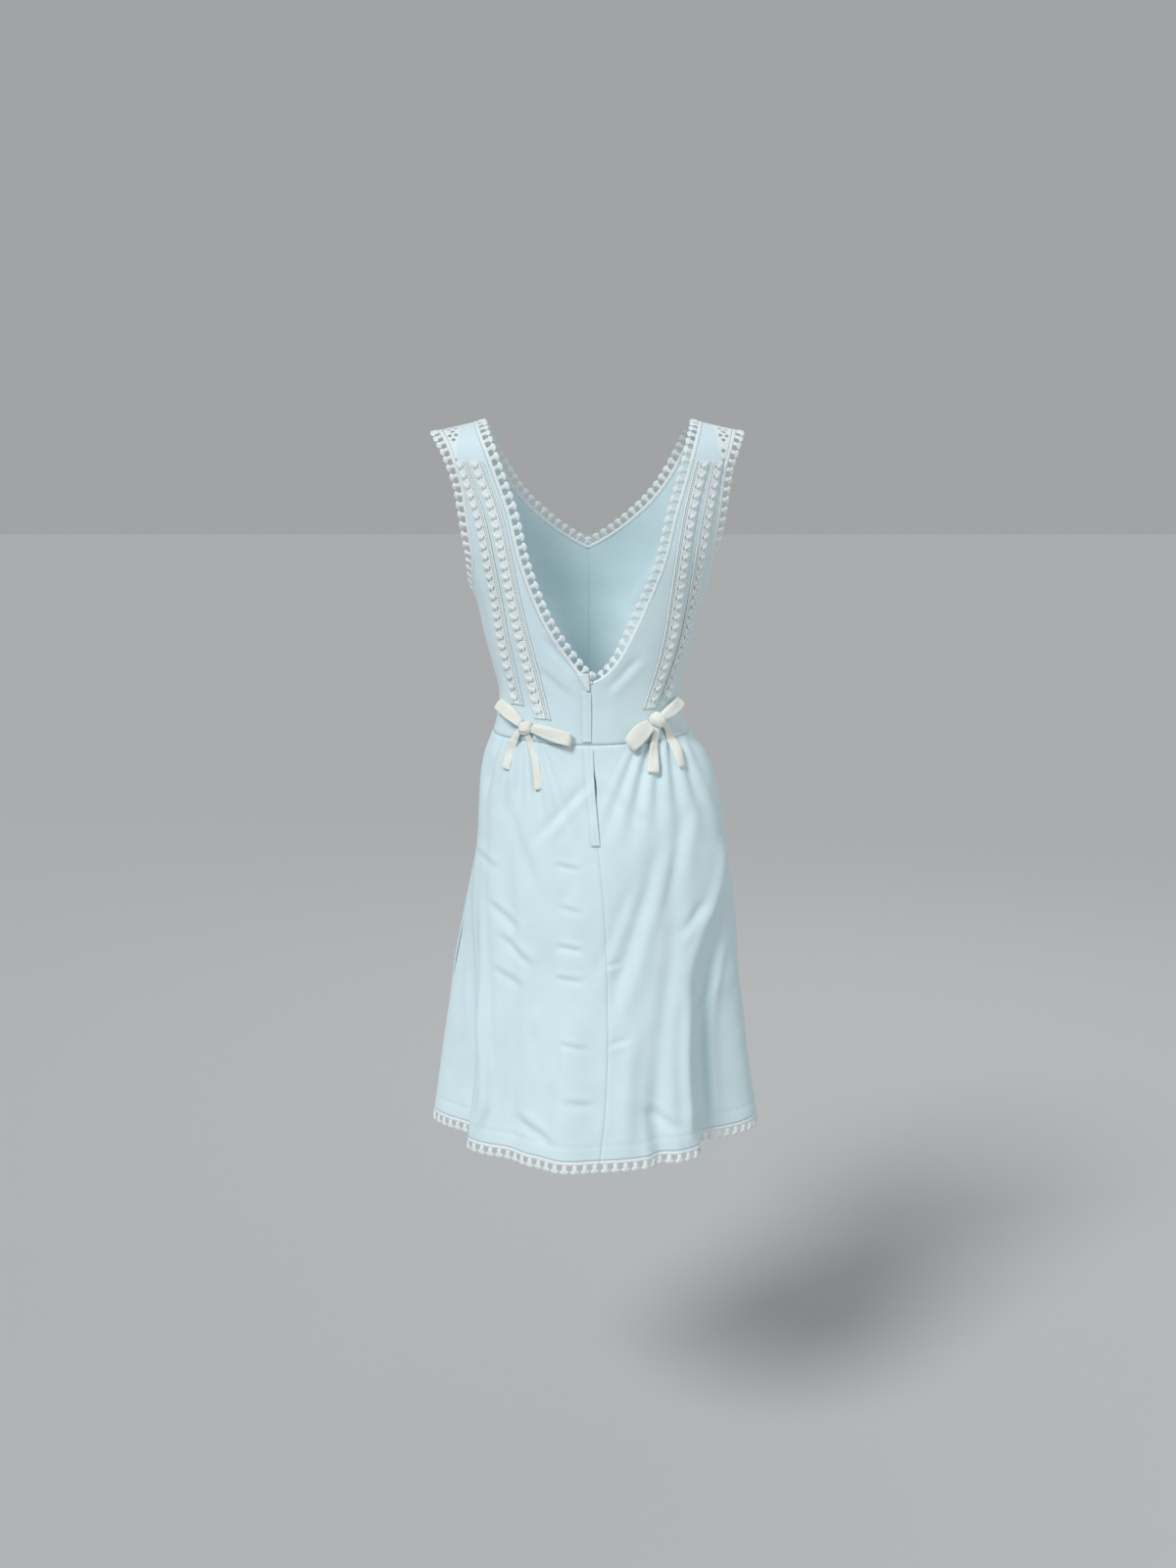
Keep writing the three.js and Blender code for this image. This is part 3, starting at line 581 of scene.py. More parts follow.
# Steps of about one size down the cloth; each named distance falls on a row.
def rowsThrough(marks):
    parts = []
    for start, end in zip(marks, marks[1:]):
        count = max(int(round((end - start) / panels["rowStep"])), 1)
        parts.append(np.linspace(start, end, count, endpoint=False))
    return np.concatenate([*parts, [marks[-1]]])


def columnShares(columns):
    edge = np.array(panels["edgeShares"])
    inner = np.linspace(0.034, 0.966, columns - 2 * len(edge))
    return np.concatenate([edge, inner, 1 - edge[::-1]])


# A panel between two edges: its points, its squares and how far each point lies across and down.
def panelGrid(fromAngle, toAngle, rows, columns):
    share = columnShares(columns)[None, :]
    angle = fromAngle[:, None] * (1 - share) + toAngle[:, None] * share
    down = np.broadcast_to(rows[:, None], angle.shape)
    points, normals = onCloth(angle, down)
    faces = gridFaces(*angle.shape)
    corner = points.reshape(-1, 3)[faces]
    facing = np.cross(corner[:, 2] - corner[:, 0], corner[:, 3] - corner[:, 1])
    if np.einsum("ij,ij->", facing, normals.reshape(-1, 3)[faces[:, 0]]) < 0:
        faces = faces[:, ::-1]
    uv = np.stack([angle * dress["roundRadius"], down], -1).reshape(-1, 2)
    return points.reshape(-1, 3), faces, uv


# Joins grids into one mesh and merges the points that fall together.
def mergeGrids(grids):
    points = np.concatenate([grid[0] for grid in grids])
    starts = np.cumsum([0] + [len(grid[0]) for grid in grids[:-1]])
    faces = np.concatenate([grid[1] + start for grid, start in zip(grids, starts)])
    uv = np.concatenate([grid[2] for grid in grids])
    _, first, number = np.unique(np.round(points, 2), axis=0, return_index=True, return_inverse=True)
    return points[first], number.reshape(-1)[faces], uv[first]


backRows = rowsThrough([0, 66, 88, 262, 358, 420, 424, dress["waist"]])
frontRows = rowsThrough([0, 66, 88, 196, 262, 420, 424, dress["waist"]])
skirtRows = rowsThrough([dress["waist"], 432, 436, 925, 931, dress["hem"]])


# The right edge of the slit stands open as half a sine wave, where the lap doesn't cover it.
def slitOpening(down):
    share = np.clip((down - panels["slitFrom"]) / (panels["slitTo"] - panels["slitFrom"]), 0, 1)
    return panels["slitOpen"] * np.sin(np.pi * share) ** 1.3


# The skirt's edge at the back: the seam line, or the standing edge of the slit at the right.
def skirtCentre(side, rows):
    opening = slitOpening(rows) if side == right else 0
    return angleAt(centreX(rows) + opening, rows, "back")


def addPanel(name, grid, node):
    points, faces, uv = grid
    made = makePiece(name, points, faces, clothCrepe, [node], dress["clothWall"], uv)
    return made, areaOf(points, faces)


for side, label in ((left, "Left"), (right, "Right")):
    edges = backInner(side, backRows), outerAngle(side, "back", backRows)
    grid = panelGrid(*edges, backRows, panels["bodiceBackColumns"])
    addPanel(f"bodiceBack{label}", grid, f"bodice_back_{label.lower()}")
halves = []
for side in (left, right):
    edges = frontInner(side, frontRows), outerAngle(side, "front", frontRows)
    halves.append(panelGrid(*edges, frontRows, panels["bodiceHalfColumns"]))
bodiceFront = addPanel("bodiceFront", mergeGrids(halves), "bodice_front")

sideSeam = np.full(skirtRows.shape, sideAngle)
skirtBackLeft = addPanel("skirtBackLeft", panelGrid(
    -sideSeam, skirtCentre(left, skirtRows), skirtRows, panels["skirtBackColumns"]), "skirt_back_left")
skirtBackRight = addPanel("skirtBackRight", panelGrid(
    skirtCentre(right, skirtRows), sideSeam, skirtRows, panels["skirtBackColumns"]), "skirt_back_right")
skirtFront = addPanel("skirtFront", panelGrid(
    sideSeam, 2 * np.pi - sideSeam, skirtRows, panels["skirtFrontColumns"]), "skirt_front")
print("panels made")

# Crocheted edgings: a header and a row of shells.

edging = {
    "gap": 0.3,
    "headerWidth": 5.2,
    "headerThick": 1.9,
    "headerStep": 1.5,
    "stitchPitch": 3.0,
    "shellPitch": 12.7,
    "shellFoot": 4.6,     # where the shells leave the header
    "shellLong": 12.2,
    "shellThick": 1.6,
    "lineStep": 0.5,
    "easeSteps": 9,
    "around": 8,
}

shellColumns = np.linspace(-1, 1, 11)
shellRows = np.array([0, 0.2, 0.42, 0.66, 0.86, 1.0])
shellWidths = [0.38, 0.38, 0.42, 0.42, 0.84, 0.84]
shellDome = [0, 0.75, 1, 1, 0.85, 0]


# A shell is five stitches gathered at a narrow foot: ribbed, domed and widest near its rounded rim.
def shellShape(long, wide, thick):
    u, v = np.meshgrid(shellColumns, shellRows)
    halfWidth = wide / 2 * np.interp(v, shellRows, shellWidths)
    rib = np.cos(5 * np.pi * u)
    away = long * (v * (1 - 0.22 * u**2) + 0.03 * rib * v)
    dome = thick * (1 - np.abs(u) ** 3) * np.interp(v, shellRows, shellDome)
    top = dome * (1 + 0.16 * rib)
    points = np.stack([(u * halfWidth).ravel(), away.ravel(), top.ravel()], -1)
    under = points.copy()
    under[:, 2] = -0.6 * dome.ravel()
    faces = gridFaces(*u.shape)
    return np.concatenate([points, under]), np.concatenate([faces[:, ::-1], faces + u.size])


# Running mean of directions, so that they turn evenly along an edge.
def eased(vectors, closed):
    span = edging["easeSteps"]
    padded = np.pad(vectors, ((span // 2, span // 2), (0, 0)), mode="wrap" if closed else "edge")
    mean = np.ones(span) / span
    return unit(np.stack([np.convolve(padded[:, k], mean, "valid") for k in range(3)], -1))


def betweenPoints(at, keys, vectors):
    return np.stack([np.interp(at, keys, vectors[:, k]) for k in range(3)], -1)


# A cloth edge with its directions: even steps along, the way out of the edge and out of the cloth.
def edgeLine(points, normals, direction, closed=False):
    if closed:
        points, normals = (np.concatenate([a, a[:1]]) for a in (points, normals))
    length = np.concatenate([[0], np.cumsum(np.linalg.norm(np.diff(points, axis=0), axis=1))])
    at = np.arange(0, length[-1], edging["lineStep"])
    point = betweenPoints(at, length, points)
    normal = eased(unit(betweenPoints(at, length, normals)), closed)
    tangent = eased(np.gradient(point, axis=0), closed)
    level = unit(np.cross(normal, tangent)) * direction
    normal = unit(np.cross(tangent, level)) * direction
    return {"at": at, "point": point, "normal": normal, "level": level, "long": float(at[-1]), "closed": closed}


# Local along, away and up turned into places beside the edge; roll turns the away direction inwards.
def besideEdge(line, along, away, up, roll=None):
    at = along % line["long"] if line["closed"] else np.clip(along, 0, line["long"])
    over = 0 * along if line["closed"] else along - at
    point, normal, level = (betweenPoints(at, line["at"], line[name]) for name in ("point", "normal", "level"))
    turn = np.zeros_like(at) if roll is None else np.interp(at, line["at"], roll)
    way = level * np.cos(turn)[..., None] - normal * np.sin(turn)[..., None]
    facing = normal * np.cos(turn)[..., None] + level * np.sin(turn)[..., None]
    onward = unit(np.cross(facing, way))
    return point + way * away[..., None] + facing * up[..., None] + onward * over[..., None]


# One row of equal shapes as a single mesh: the squares of each follow those of the one before.
def repeatedFaces(faces, number, count):
    return (faces[None] + (np.arange(number) * count)[:, None, None]).reshape(-1, 4)


# The header is a corded tube that swells at each stitch; the shells follow at one pitch.
def edgingParts(line, roll=None):
    parts = []
    steps, around = max(int(line["long"] / edging["headerStep"]), 4), edging["around"]
    along = np.linspace(0, line["long"], steps, endpoint=not line["closed"])[:, None]
    turn = np.linspace(0, 2 * np.pi, around, endpoint=False)[None, :]
    swell = 1 + 0.22 * np.cos(2 * np.pi * along / edging["stitchPitch"])
    away = edging["gap"] + edging["headerWidth"] / 2 * (1 + np.cos(turn)) + 0 * along
    up = edging["headerThick"] / 2 * np.sin(turn) * swell
    rings = besideEdge(line, along + 0 * turn, away, up, roll)
    if line["closed"]:
        parts.append((rings.reshape(-1, 3), gridFaces(steps, around, True, True)))
    else:
        parts.append(cappedRings(rings))
    number = max(int(round(line["long"] / edging["shellPitch"])), 1)
    pitch = line["long"] / number
    shape, faces = shellShape(edging["shellLong"], pitch * 1.04, edging["shellThick"])
    along = ((np.arange(number) + 0.5) * pitch)[:, None] + shape[None, :, 0]
    away, up = edging["shellFoot"] + shape[None, :, 1] + 0 * along, shape[None, :, 2] + 0 * along
    spots = besideEdge(line, along, away, up, roll)
    parts.append((spots.reshape(-1, 3), repeatedFaces(faces, number, len(shape))))
    return parts


# Turns a closed mesh the right way out: its enclosed volume has to come out positive.
def outwardFaces(points, faces):
    volume = 0.0
    first = np.array([[f[0], f[1], f[2]] for f in faces])
    third = np.array([[f[0], f[2], f[3]] for f in faces if len(f) > 3])
    middle = points.mean(axis=0)
    for triangles in (first, third):
        if len(triangles):
            a, b, c = (points[triangles[:, k]] - middle for k in range(3))
            volume += float(np.einsum("ij,ij->", a, np.cross(b, c)))
    return faces if volume > 0 else [face[::-1] for face in faces]


def closedPiece(name, parts, material, nodes, uv=False):
    turned = []
    for points, faces in parts:
        faces = faces.tolist() if isinstance(faces, np.ndarray) else faces
        turned.append((points, outwardFaces(points, faces)))
    points, faces = joinParts(turned)
    flat = np.stack([points[:, 0], points[:, 2]], -1) if uv else None
    return makePiece(name, points, faces, material, nodes, 0.0, flat)


def neckLine(side, face):
    end = dress["backPoint"] if face == "back" else dress["frontPoint"]
    downs = np.linspace(0, end - 0.01, 400)
    inner = backInner if face == "back" else frontInner
    return onCloth(inner(side, downs), downs)


for side, label in ((left, "Left"), (right, "Right")):
    line = edgeLine(*neckLine(side, "back"), -side)
    downs = np.linspace(0, dress["backPoint"], len(line["at"]))
    roll = np.radians(56) * smooth(210, 330, downs) if side == right else None
    closedPiece(f"neckEdgingBack{label}", edgingParts(line, roll), crochet,
                [f"neck_edging_back_{label.lower()}"])
    backDowns, frontDowns = np.linspace(0, 261.9, 300), np.linspace(261.9, 0, 300)
    back = onCloth(armholeAngle(side, "back", backDowns), backDowns)
    front = onCloth(armholeAngle(side, "front", frontDowns), frontDowns)
    loop = [np.concatenate([back[k], front[k][1:-1]]) for k in (0, 1)]
    closedPiece(f"armholeEdging{label}", edgingParts(edgeLine(*loop, side, True)), crochet,
                [f"armhole_edging_{label.lower()}"])
leftNeck, rightNeck = neckLine(left, "front"), neckLine(right, "front")
around = [np.concatenate([leftNeck[k], rightNeck[k][::-1][1:]]) for k in (0, 1)]
closedPiece("neckEdgingFront", edgingParts(edgeLine(*around, -1)), crochet, ["neck_edging_front"])

hemPoints = 900
hemCentre = {side: float(skirtCentre(side, dress["hem"])) for side in (left, right)}
hemParts = {
    "BackLeft": ("hem_edging_back_left", -sideAngle, hemCentre[left]),
    "BackRight": ("hem_edging_back_right", hemCentre[right], sideAngle),
    "Front": ("hem_edging_front", sideAngle, 3 * sideAngle),
}
for label, (node, start, end) in hemParts.items():
    edge = onCloth(np.linspace(start, end, hemPoints), np.full(hemPoints, dress["hem"] - 0.5))
    line = edgeLine(*edge, 1)
    if line["level"][:, 2].mean() > 0:
        line = edgeLine(*edge, -1)
    closedPiece(f"hemEdging{label}", edgingParts(line), crochet, [node])
print("edgings made")

# What lies on the back: lace bands, laps and the folded tab.

# rows of down, x and width
bands = {
    "OuterLeft": {"node": "band_outer_left", "rows": [
        [84, -158, 13], [150, -136, 15], [254, -115, 16], [304, -107, 17], [386, -89, 17]]},
    "InnerLeft": {"node": "band_inner_left", "rows": [
        [84, -139, 17], [150, -115, 18], [254, -93, 19], [304, -82, 20], [400, -57, 21]]},
    "InnerRight": {"node": "band_inner_right", "rows": [
        [84, 142, 17], [150, 126, 17], [254, 110, 18], [300, 103, 17], [336, 94, 16], [388, 76, 16]]},
    "OuterRight": {"node": "band_outer_right", "rows": [
        [84, 161, 13], [150, 148, 14], [254, 132, 14], [300, 123, 12], [336, 112, 11], [380, 98, 11]]},
}
bandLace = {
    "lift": 1.5,
    "wall": 0.9,
    "step": 1.25,
    "columns": 17,
    "cordShares": [0.05, 0.60, 0.95],
    "cordWide": 0.035,
    "cordHigh": 0.7,
    "shellPitch": 12.5,
    "shellHigh": 1.5,
    "hole": 1.7,
    "holeShare": 0.46,
}


# Points on a band: share runs from its outer edge (0) to the edge by the centre back (1).
def onBand(rows, share, down, lift):
    x, wide = curveThrough(rows, 1, down), curveThrough(rows, 2, down)
    inwards = -np.sign(rows[0, 1])
    return onCloth(angleAt(x + inwards * (share - 0.5) * wide, down, "back"), down, lift)[0]


# Each band is a strip with three cords, a net at its inner side, and shells that stand on holes.
for name, band in bands.items():
    rows, pitch = np.array(band["rows"], float), bandLace["shellPitch"]
    start, end = rows[0, 0], rows[-1, 0]
    share = np.linspace(0, 1, bandLace["columns"])[None, :]
    down = np.arange(start, end, bandLace["step"])[:, None] + 0 * share
    cords = sum(bell(share - cord, bandLace["cordWide"]) for cord in bandLace["cordShares"])
    lift = bandLace["lift"] + bandLace["cordHigh"] * cords * (1 + 0.2 * np.cos(2 * np.pi * down / 2.5))
    points = onBand(rows, share + 0 * down, down, lift).reshape(-1, 3)
    faces = gridFaces(*down.shape)
    row, column = faces[:, 0] // bandLace["columns"], faces[:, 0] % bandLace["columns"]
    net = (column % 2 == 1) & (row % 2 == 1) & (column >= 11) & (column <= 14)
    offMiddle = ((down.ravel()[faces[:, 0]] - start) / pitch) % 1 - 0.5
    across = (column / (bandLace["columns"] - 1) - bandLace["holeShare"]) * rows[:, 2].mean()
    faces = faces[~net & (np.hypot(offMiddle * pitch, across) > bandLace["hole"])]
    makePiece(f"band{name}", points, turnTowards(points, faces, 1, -1), crochet, [band["node"]],
              bandLace["wall"])
    shape, shellFaces = shellShape(1.0, pitch * 0.98, bandLace["shellHigh"])
    number = int((end - start) / pitch)
    along = (start + (np.arange(number) + 0.5) * pitch)[:, None] + shape[None, :, 0]
    across = 0.52 - 0.46 * shape[None, :, 1] + 0 * along
    spots = onBand(rows, across, along, bandLace["lift"] + 1.0 + shape[None, :, 2] + 0 * along)
    parts = [(spots.reshape(-1, 3), repeatedFaces(shellFaces, number, len(shape)))]
    closedPiece(f"shells{name}", parts, crochet, [band["node"]])

# rows of down, left x and right x
laps = {
    "lapBodice": {"node": "placket_lap_bodice", "gape": 0.8, "rows": [
        [366, -8, 4], [395, -8, 4], [424, -7, 4]]},
    "lapSkirt": {"node": "placket_lap_skirt", "gape": 2.2, "rows": [
        [434, -5, 6], [480, -4, 8], [520, 1, 11], [562, 4, 15]]},
}
lapCloth = {"lift": 1.9, "wall": 1.3, "rows": 56, "columns": 15}
tab = {"lift": 2.2, "wall": 1.6, "rows": 14, "columns": 11,
       "edges": [[344, -14, 1], [352, -9, 1.5], [363, -2, 2]]}


# Places on the back between a table's left and right edges, with each place's share across.
def backStrip(table, rows, columns):
    table = np.array(table, float)
    share = np.linspace(0, 1, columns)[None, :]
    down = np.linspace(table[0, 0], table[-1, 0], rows)[:, None] + 0 * share
    x = curveThrough(table, 1, down) * (1 - share) + curveThrough(table, 2, down) * share
    return x, down, share


# The strip's points at their height off the cloth, squares that face out, and a flat map.
def stripMesh(x, down, lift):
    points = onCloth(angleAt(x, down, "back"), down, lift)[0].reshape(-1, 3)
    faces = turnTowards(points, gridFaces(*down.shape), 1, -1)
    return points, faces, np.stack([x.ravel(), down.ravel()], -1)


# A lap lies flat at its stitched left side and lifts a little along its free right edge.
for name, lap in laps.items():
    x, down, share = backStrip(lap["rows"], lapCloth["rows"], lapCloth["columns"])
    middle = np.sin(np.pi * (down - down[0, 0]) / (down[-1, 0] - down[0, 0]))
    lift = lapCloth["lift"] + lap["gape"] * share**2 * middle - 0.35 * bell(share - 0.16, 0.06)
    points, faces, uv = stripMesh(x, down, lift)
    makePiece(name, points, faces, clothCrepe, [lap["node"]], lapCloth["wall"], uv)

x, down, share = backStrip(tab["edges"], tab["rows"], tab["columns"])
lift = tab["lift"] + 1.1 * np.sin(np.pi * share) + 0.35 * np.cos(2 * np.pi * down / 3.2)
points, faces, _ = stripMesh(x, down, lift)
makePiece("neckEdgingTab", points, faces, crochet, ["neck_edging_tab"], tab["wall"])
print("bands and laps made")

# Open lace at the shoulders.

lace = {"along": 1.0, "columns": 21, "holePitch": 8.6, "hole": 2.7, "rim": 1.2, "wall": 1.4}

# A net of round holes in rows set half a pitch aside, kept clear of the lace's own edges.
for side, label in ((left, "Left"), (right, "Right")):
    signed = np.arange(-dress["laceTip"], dress["laceTip"] + 0.5, lace["along"])
    down, share = np.abs(signed), np.linspace(0, 1, lace["columns"])
    grids = []
    for face in ("back", "front"):
        inner, outer = laceInnerAngle(side, face, down)[:, None], laceOuterAngle(side, face, down)[:, None]
        grids.append(onCloth(inner * (1 - share) + outer * share, down[:, None] + 0 * share)[0])
    points = np.where((signed > 0)[:, None, None], grids[1], grids[0])
    wide = np.linalg.norm(points[:, -1] - points[:, 0], axis=-1)[:, None]
    along, across = signed[:, None] + 0 * share, (share[None, :] - 0.5) * wide
    row = np.round(along / lace["holePitch"])
    aside = (row % 2) * 0.5
    column = np.round(across / lace["holePitch"] - aside) + aside
    off = np.hypot(along - row * lace["holePitch"], across - column * lace["holePitch"])
    room = np.abs(column * lace["holePitch"]) + lace["hole"] + lace["rim"] < wide / 2
    inside = (off < lace["hole"]) & room
    faces = gridFaces(*along.shape)
    faces = faces[inside.ravel()[faces].sum(axis=1) < 2]
    points = points.reshape(-1, 3)
    makePiece(f"shoulderLace{label}", points, turnTowards(points, faces, 2, 1), crochet,
              [f"shoulder_lace_{label.lower()}"], lace["wall"])

# Zip: tape, chain and slider inside the back fastening.

zipParts = {
    "zipTape": {"node": "zip_tape", "finish": zipTape, "from": 360, "to": 560, "step": 4.0,
                "half": 12, "lift": -5.2, "wall": 0.8, "tooth": 0},
    "zipChain": {"node": "zip_chain", "finish": zipNylon, "from": 376, "to": 552, "step": 0.75,
                 "half": 2.2, "lift": -3.4, "wall": 1.4, "tooth": 0.5},
}
for name, strip in zipParts.items():
    share = np.linspace(-1, 1, 9)[None, :]
    down = np.arange(strip["from"], strip["to"], strip["step"])[:, None] + 0 * share
    teeth = strip["tooth"] * np.cos(2 * np.pi * down / 3.0) * (1 - share**2)
    points, faces, uv = stripMesh(centreX(down) + share * strip["half"], down, strip["lift"] + teeth)
    makePiece(name, points, faces, strip["finish"], [strip["node"]], strip["wall"], uv)

# The slider is a rounded body on the chain: rings widest at its middle.
turn, along = np.linspace(0, 2 * np.pi, 12, endpoint=False)[None, :], np.linspace(0, 1, 9)[:, None]
bodyWide = 4 * np.sin(np.pi * (0.12 + 0.76 * along)) ** 0.5
down = 366 + 9.5 * along + 0 * turn
x = centreX(down) + bodyWide * np.cos(turn)
lift = -3.2 + 1.0 * np.sin(turn)
rings = onCloth(angleAt(x, down, "back"), down, lift)[0]
closedPiece("zipSlider", [cappedRings(rings)], zipNylon, ["zip_slider"])
print("lace and zip made")

# The two tied bows.

# Loops and tails: rows of x, height and distance behind the cloth, widths along them.
bows = {
    "Left": {
        "knot": {"at": [-79, -371, 8], "size": [9.4, 6, 9], "turn": -30},
        "loops": {
            "Outer": {"wide": [10, 17, 17, 15], "stand": 7,
                      "points": [[-86, -366, 6.3], [-103, -354, 11.2], [-117, -351, 28]]},
            "Inner": {"wide": [11, 16, 17, 16], "stand": 7,
                      "points": [[-71, -370, 5.2], [-48, -375, 4.2], [-25, -380, 4]]},
        },
        "tails": {
            "Outer": {"wide": [8, 14, 15], "points": [[-84, -374], [-98, -402], [-105, -428]]},
            "Inner": {"wide": [8, 10, 12], "points": [[-77, -374], [-67, -410], [-61, -450]]},
        },
    },
    "Right": {
        "knot": {"at": [88.5, -362, 9.5], "size": [10.8, 7, 9.5], "turn": 30},
        "loops": {
            "Inner": {"wide": [13, 22, 23, 19], "stand": 8,
                      "points": [[80, -366, 3.8], [67, -375, 4], [55, -386, 4.2]]},
            "Outer": {"wide": [11, 15, 15, 13], "stand": 6,
                      "points": [[95, -359, 7], [110, -351, 16], [123, -347, 34]]},
        },
        "tails": {
            "Inner": {"wide": [9, 12, 16], "points": [[85, -368], [82, -398], [81, -428]]},
            "Outer": {"wide": [10, 14, 13], "points": [[94, -366], [107, -394], [118, -425]]},
        },
    },
}
ribbon = {"thick": 2.6, "tailLift": 2.9, "around": 14}


# The distance down the cloth of a height below the shoulders.
def downAt(height):
    return dress["shoulderHeight"] - dress["archHeight"] + dress["archLength"] - height


def behind(x, height, off):
    down = downAt(np.asarray(height, float))
    point = onCloth(angleAt(np.asarray(x, float), down, "back"), down)[0]
    return point + np.array([0, -1, 0]) * np.asarray(off, float)[..., None]


def lineThrough(points, count):
    points = np.asarray(points, float)
    chord = np.concatenate([[0], np.cumsum(np.linalg.norm(np.diff(points, axis=0), axis=1))])
    rows = np.column_stack([chord, points])
    at = np.linspace(0, chord[-1], count)
    return np.stack([curveThrough(rows, k, at) for k in (1, 2, 3)], -1), at / chord[-1]


# A padded ribbon: rings of flattened ovals along a line, rippled lengthwise, closed at the ends.
def ribbonRings(line, way, normal, widths, share, seed):
    turn = np.linspace(0, 2 * np.pi, ribbon["around"], endpoint=False)
    a, b = np.cos(turn), np.sin(turn)
    across = (np.sign(a) * np.abs(a) ** 0.75)[None, :] * widths[:, None] / 2
    thick = ribbon["thick"] / 2 * np.where((share < 0.02) | (share > 0.98), 0.55, 1.0)
    up = (np.sign(b) * np.abs(b) ** 0.8)[None, :] * thick[:, None]
    part = across / widths[:, None] * 2
    along = share[:, None]
    ripple = 0.55 * np.sin(2.6 * part + 7 * along + seed) + 0.35 * np.sin(5.1 * part - 4 * along + 2 * seed)
    ripple = ripple + 0.7 * np.sin(9 * along + seed) * part
    return line[:, None] + way[:, None] * across[..., None] + normal[:, None] * (up + ripple)[..., None]


def loopRings(shape, seed):
    low = behind(*np.array(shape["points"], float).T)
    high = low + np.array([0, -shape["stand"], 0])
    lead = unit(low[-1] - low[-2])
    tip = (low[-1] + high[-1]) / 2 + lead * shape["stand"] * 0.55
    line, share = lineThrough([*low, tip, *high[::-1]], 46)
    way = unit(np.cross([0, -1, 0], low[2] - low[0]))
    tangent = unit(np.gradient(line, axis=0))
    across = unit(way[None] - tangent * (tangent @ way)[:, None])
    normal = unit(np.cross(tangent, across))
    fold = np.minimum(share, 1 - share) * 2
    widths = np.interp(fold, np.linspace(0, 1, len(shape["wide"])), shape["wide"])
    return ribbonRings(line, across, normal, widths, share, seed)


# A tail lies on the cloth: its middle line and its width follow the surface under it.
def tailRings(shape, seed):
    points = np.array(shape["points"], float)
    flat, share = lineThrough(np.column_stack([points, 0 * points[:, 0]]), 30)
    down = downAt(flat[:, 1])
    lift = ribbon["tailLift"] + 2.4 * (1 - smooth(0, 0.4, share)) + 0.8 * np.sin(8 * share + seed)
    line, normal = onCloth(angleAt(flat[:, 0], down, "back"), down, lift)
    tangent = unit(np.gradient(line, axis=0))
    across = unit(np.cross(normal, tangent))
    widths = np.interp(share, np.linspace(0, 1, len(shape["wide"])), shape["wide"])
    return ribbonRings(line, across, unit(np.cross(tangent, across)), widths, share, seed)


# The knot is a squashed ball with wrapped ridges that run across it.
def knotRings(knot):
    polar = np.linspace(0.06, np.pi - 0.06, 18)[:, None]
    turn = np.linspace(0, 2 * np.pi, 22, endpoint=False)[None, :]
    swell = 1 + 0.07 * np.cos(4 * turn + 3 * polar) + 0.05 * np.cos(7 * turn - 2 * polar)
    ball = np.stack([
        np.cos(polar) + 0 * turn, np.sin(polar) * np.cos(turn), np.sin(polar) * np.sin(turn)], -1)
    ball = ball * swell[..., None] * np.array(knot["size"], float)
    c, s = math.cos(math.radians(knot["turn"])), math.sin(math.radians(knot["turn"]))
    x, y, z = ball[..., 0], ball[..., 1], ball[..., 2]
    turned = np.stack([c * x + s * z, y, c * z - s * x], -1)
    return turned + behind(*knot["at"])


for label, bow in bows.items():
    lower = label.lower()
    closedPiece(f"bow{label}Knot", [cappedRings(knotRings(bow["knot"]))], tieCrepe,
                [f"bow_{lower}_knot"], True)
    for k, (name, shape) in enumerate(bow["loops"].items()):
        closedPiece(f"bow{label}Loop{name}", [cappedRings(loopRings(shape, 1.0 + 2.3 * k))], tieCrepe,
                    [f"bow_{lower}_loop_{name.lower()}"], True)
    for k, (name, shape) in enumerate(bow["tails"].items()):
        closedPiece(f"bow{label}Tail{name}", [cappedRings(tailRings(shape, 0.4 + 1.9 * k))], tieCrepe,
                    [f"bow_{lower}_tail_{name.lower()}"], True)
print("bows made")
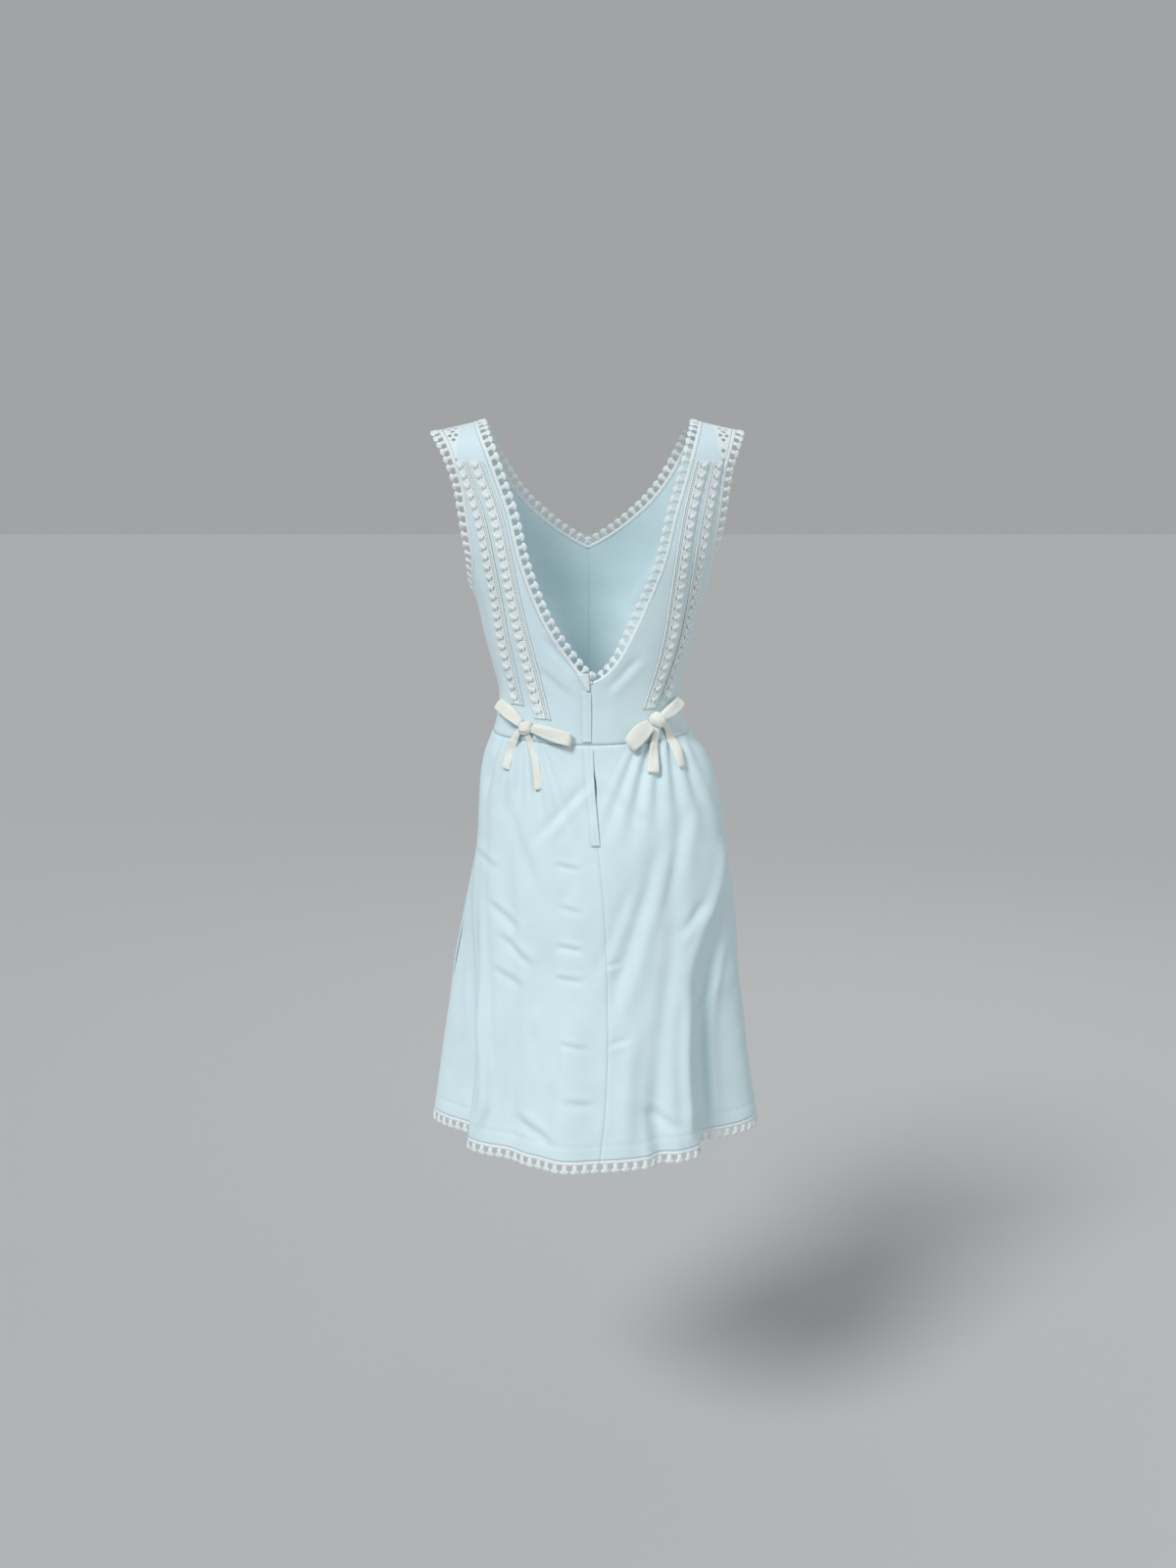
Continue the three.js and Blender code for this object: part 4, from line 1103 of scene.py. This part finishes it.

# Floor, lights and camera.

stage = {
    "floor": -1.47,
    "floorSize": 400,
    "floorColour": "#BCBEBF",
    "worldColour": "#B2B4B6",
    "worldStrength": 0.8,
}

floorMesh = bpy.data.meshes.new("floor")
half = stage["floorSize"] / 2
corners = [(-half, -half), (half, -half), (half, half), (-half, half)]
floorMesh.from_pydata([(x, y, stage["floor"]) for x, y in corners], [], [(0, 1, 2, 3)])
floorMesh.materials.append(plainFinish("matt floor paint", stage["floorColour"], 0.9))
floor = bpy.data.objects.new("floor", floorMesh)
bpy.context.scene.collection.objects.link(floor)

# kind, place, what it is aimed at, size (a sun's is its spread in degrees), strength
lights = {
    "softKey": ["SUN", (-1.7, -2.5, 2.3), (0, 0, -0.5), 18, 2.0],
    "fillPanel": ["AREA", (2.8, -2.0, 0.2), (0, 0, -0.5), 2.2, 16],
    "rearPanel": ["AREA", (0.9, 2.8, 1.6), (0, 0, -0.3), 2.0, 16],
}
for name, (kind, spot, aim, size, strength) in lights.items():
    data = bpy.data.lights.new(name, kind)
    data.energy = strength
    if kind == "SUN":
        data.angle = math.radians(size)
    else:
        data.size = size
    lamp = bpy.data.objects.new(name, data)
    bpy.context.scene.collection.objects.link(lamp)
    lamp.location = spot
    lamp.rotation_euler = (Vector(aim) - Vector(spot)).to_track_quat("-Z", "Y").to_euler()

world = bpy.data.worlds.new("studio")
world.use_nodes = True
world.node_tree.nodes["Background"].inputs["Color"].default_value = linear(stage["worldColour"])
world.node_tree.nodes["Background"].inputs["Strength"].default_value = stage["worldStrength"]
bpy.context.scene.world = world
bpy.context.scene.view_settings.view_transform = "Standard"

cameraData = bpy.data.cameras.new("camera")
cameraData.sensor_fit = "VERTICAL"
cameraData.sensor_height = 24
cameraData.lens = 25.23
camera = bpy.data.objects.new("camera", cameraData)
camera.location = (0, -2.15, -0.12)
camera.rotation_euler = (math.radians(81), 0, 0)
bpy.context.scene.collection.objects.link(camera)
bpy.context.scene.camera = camera
print("stage made")
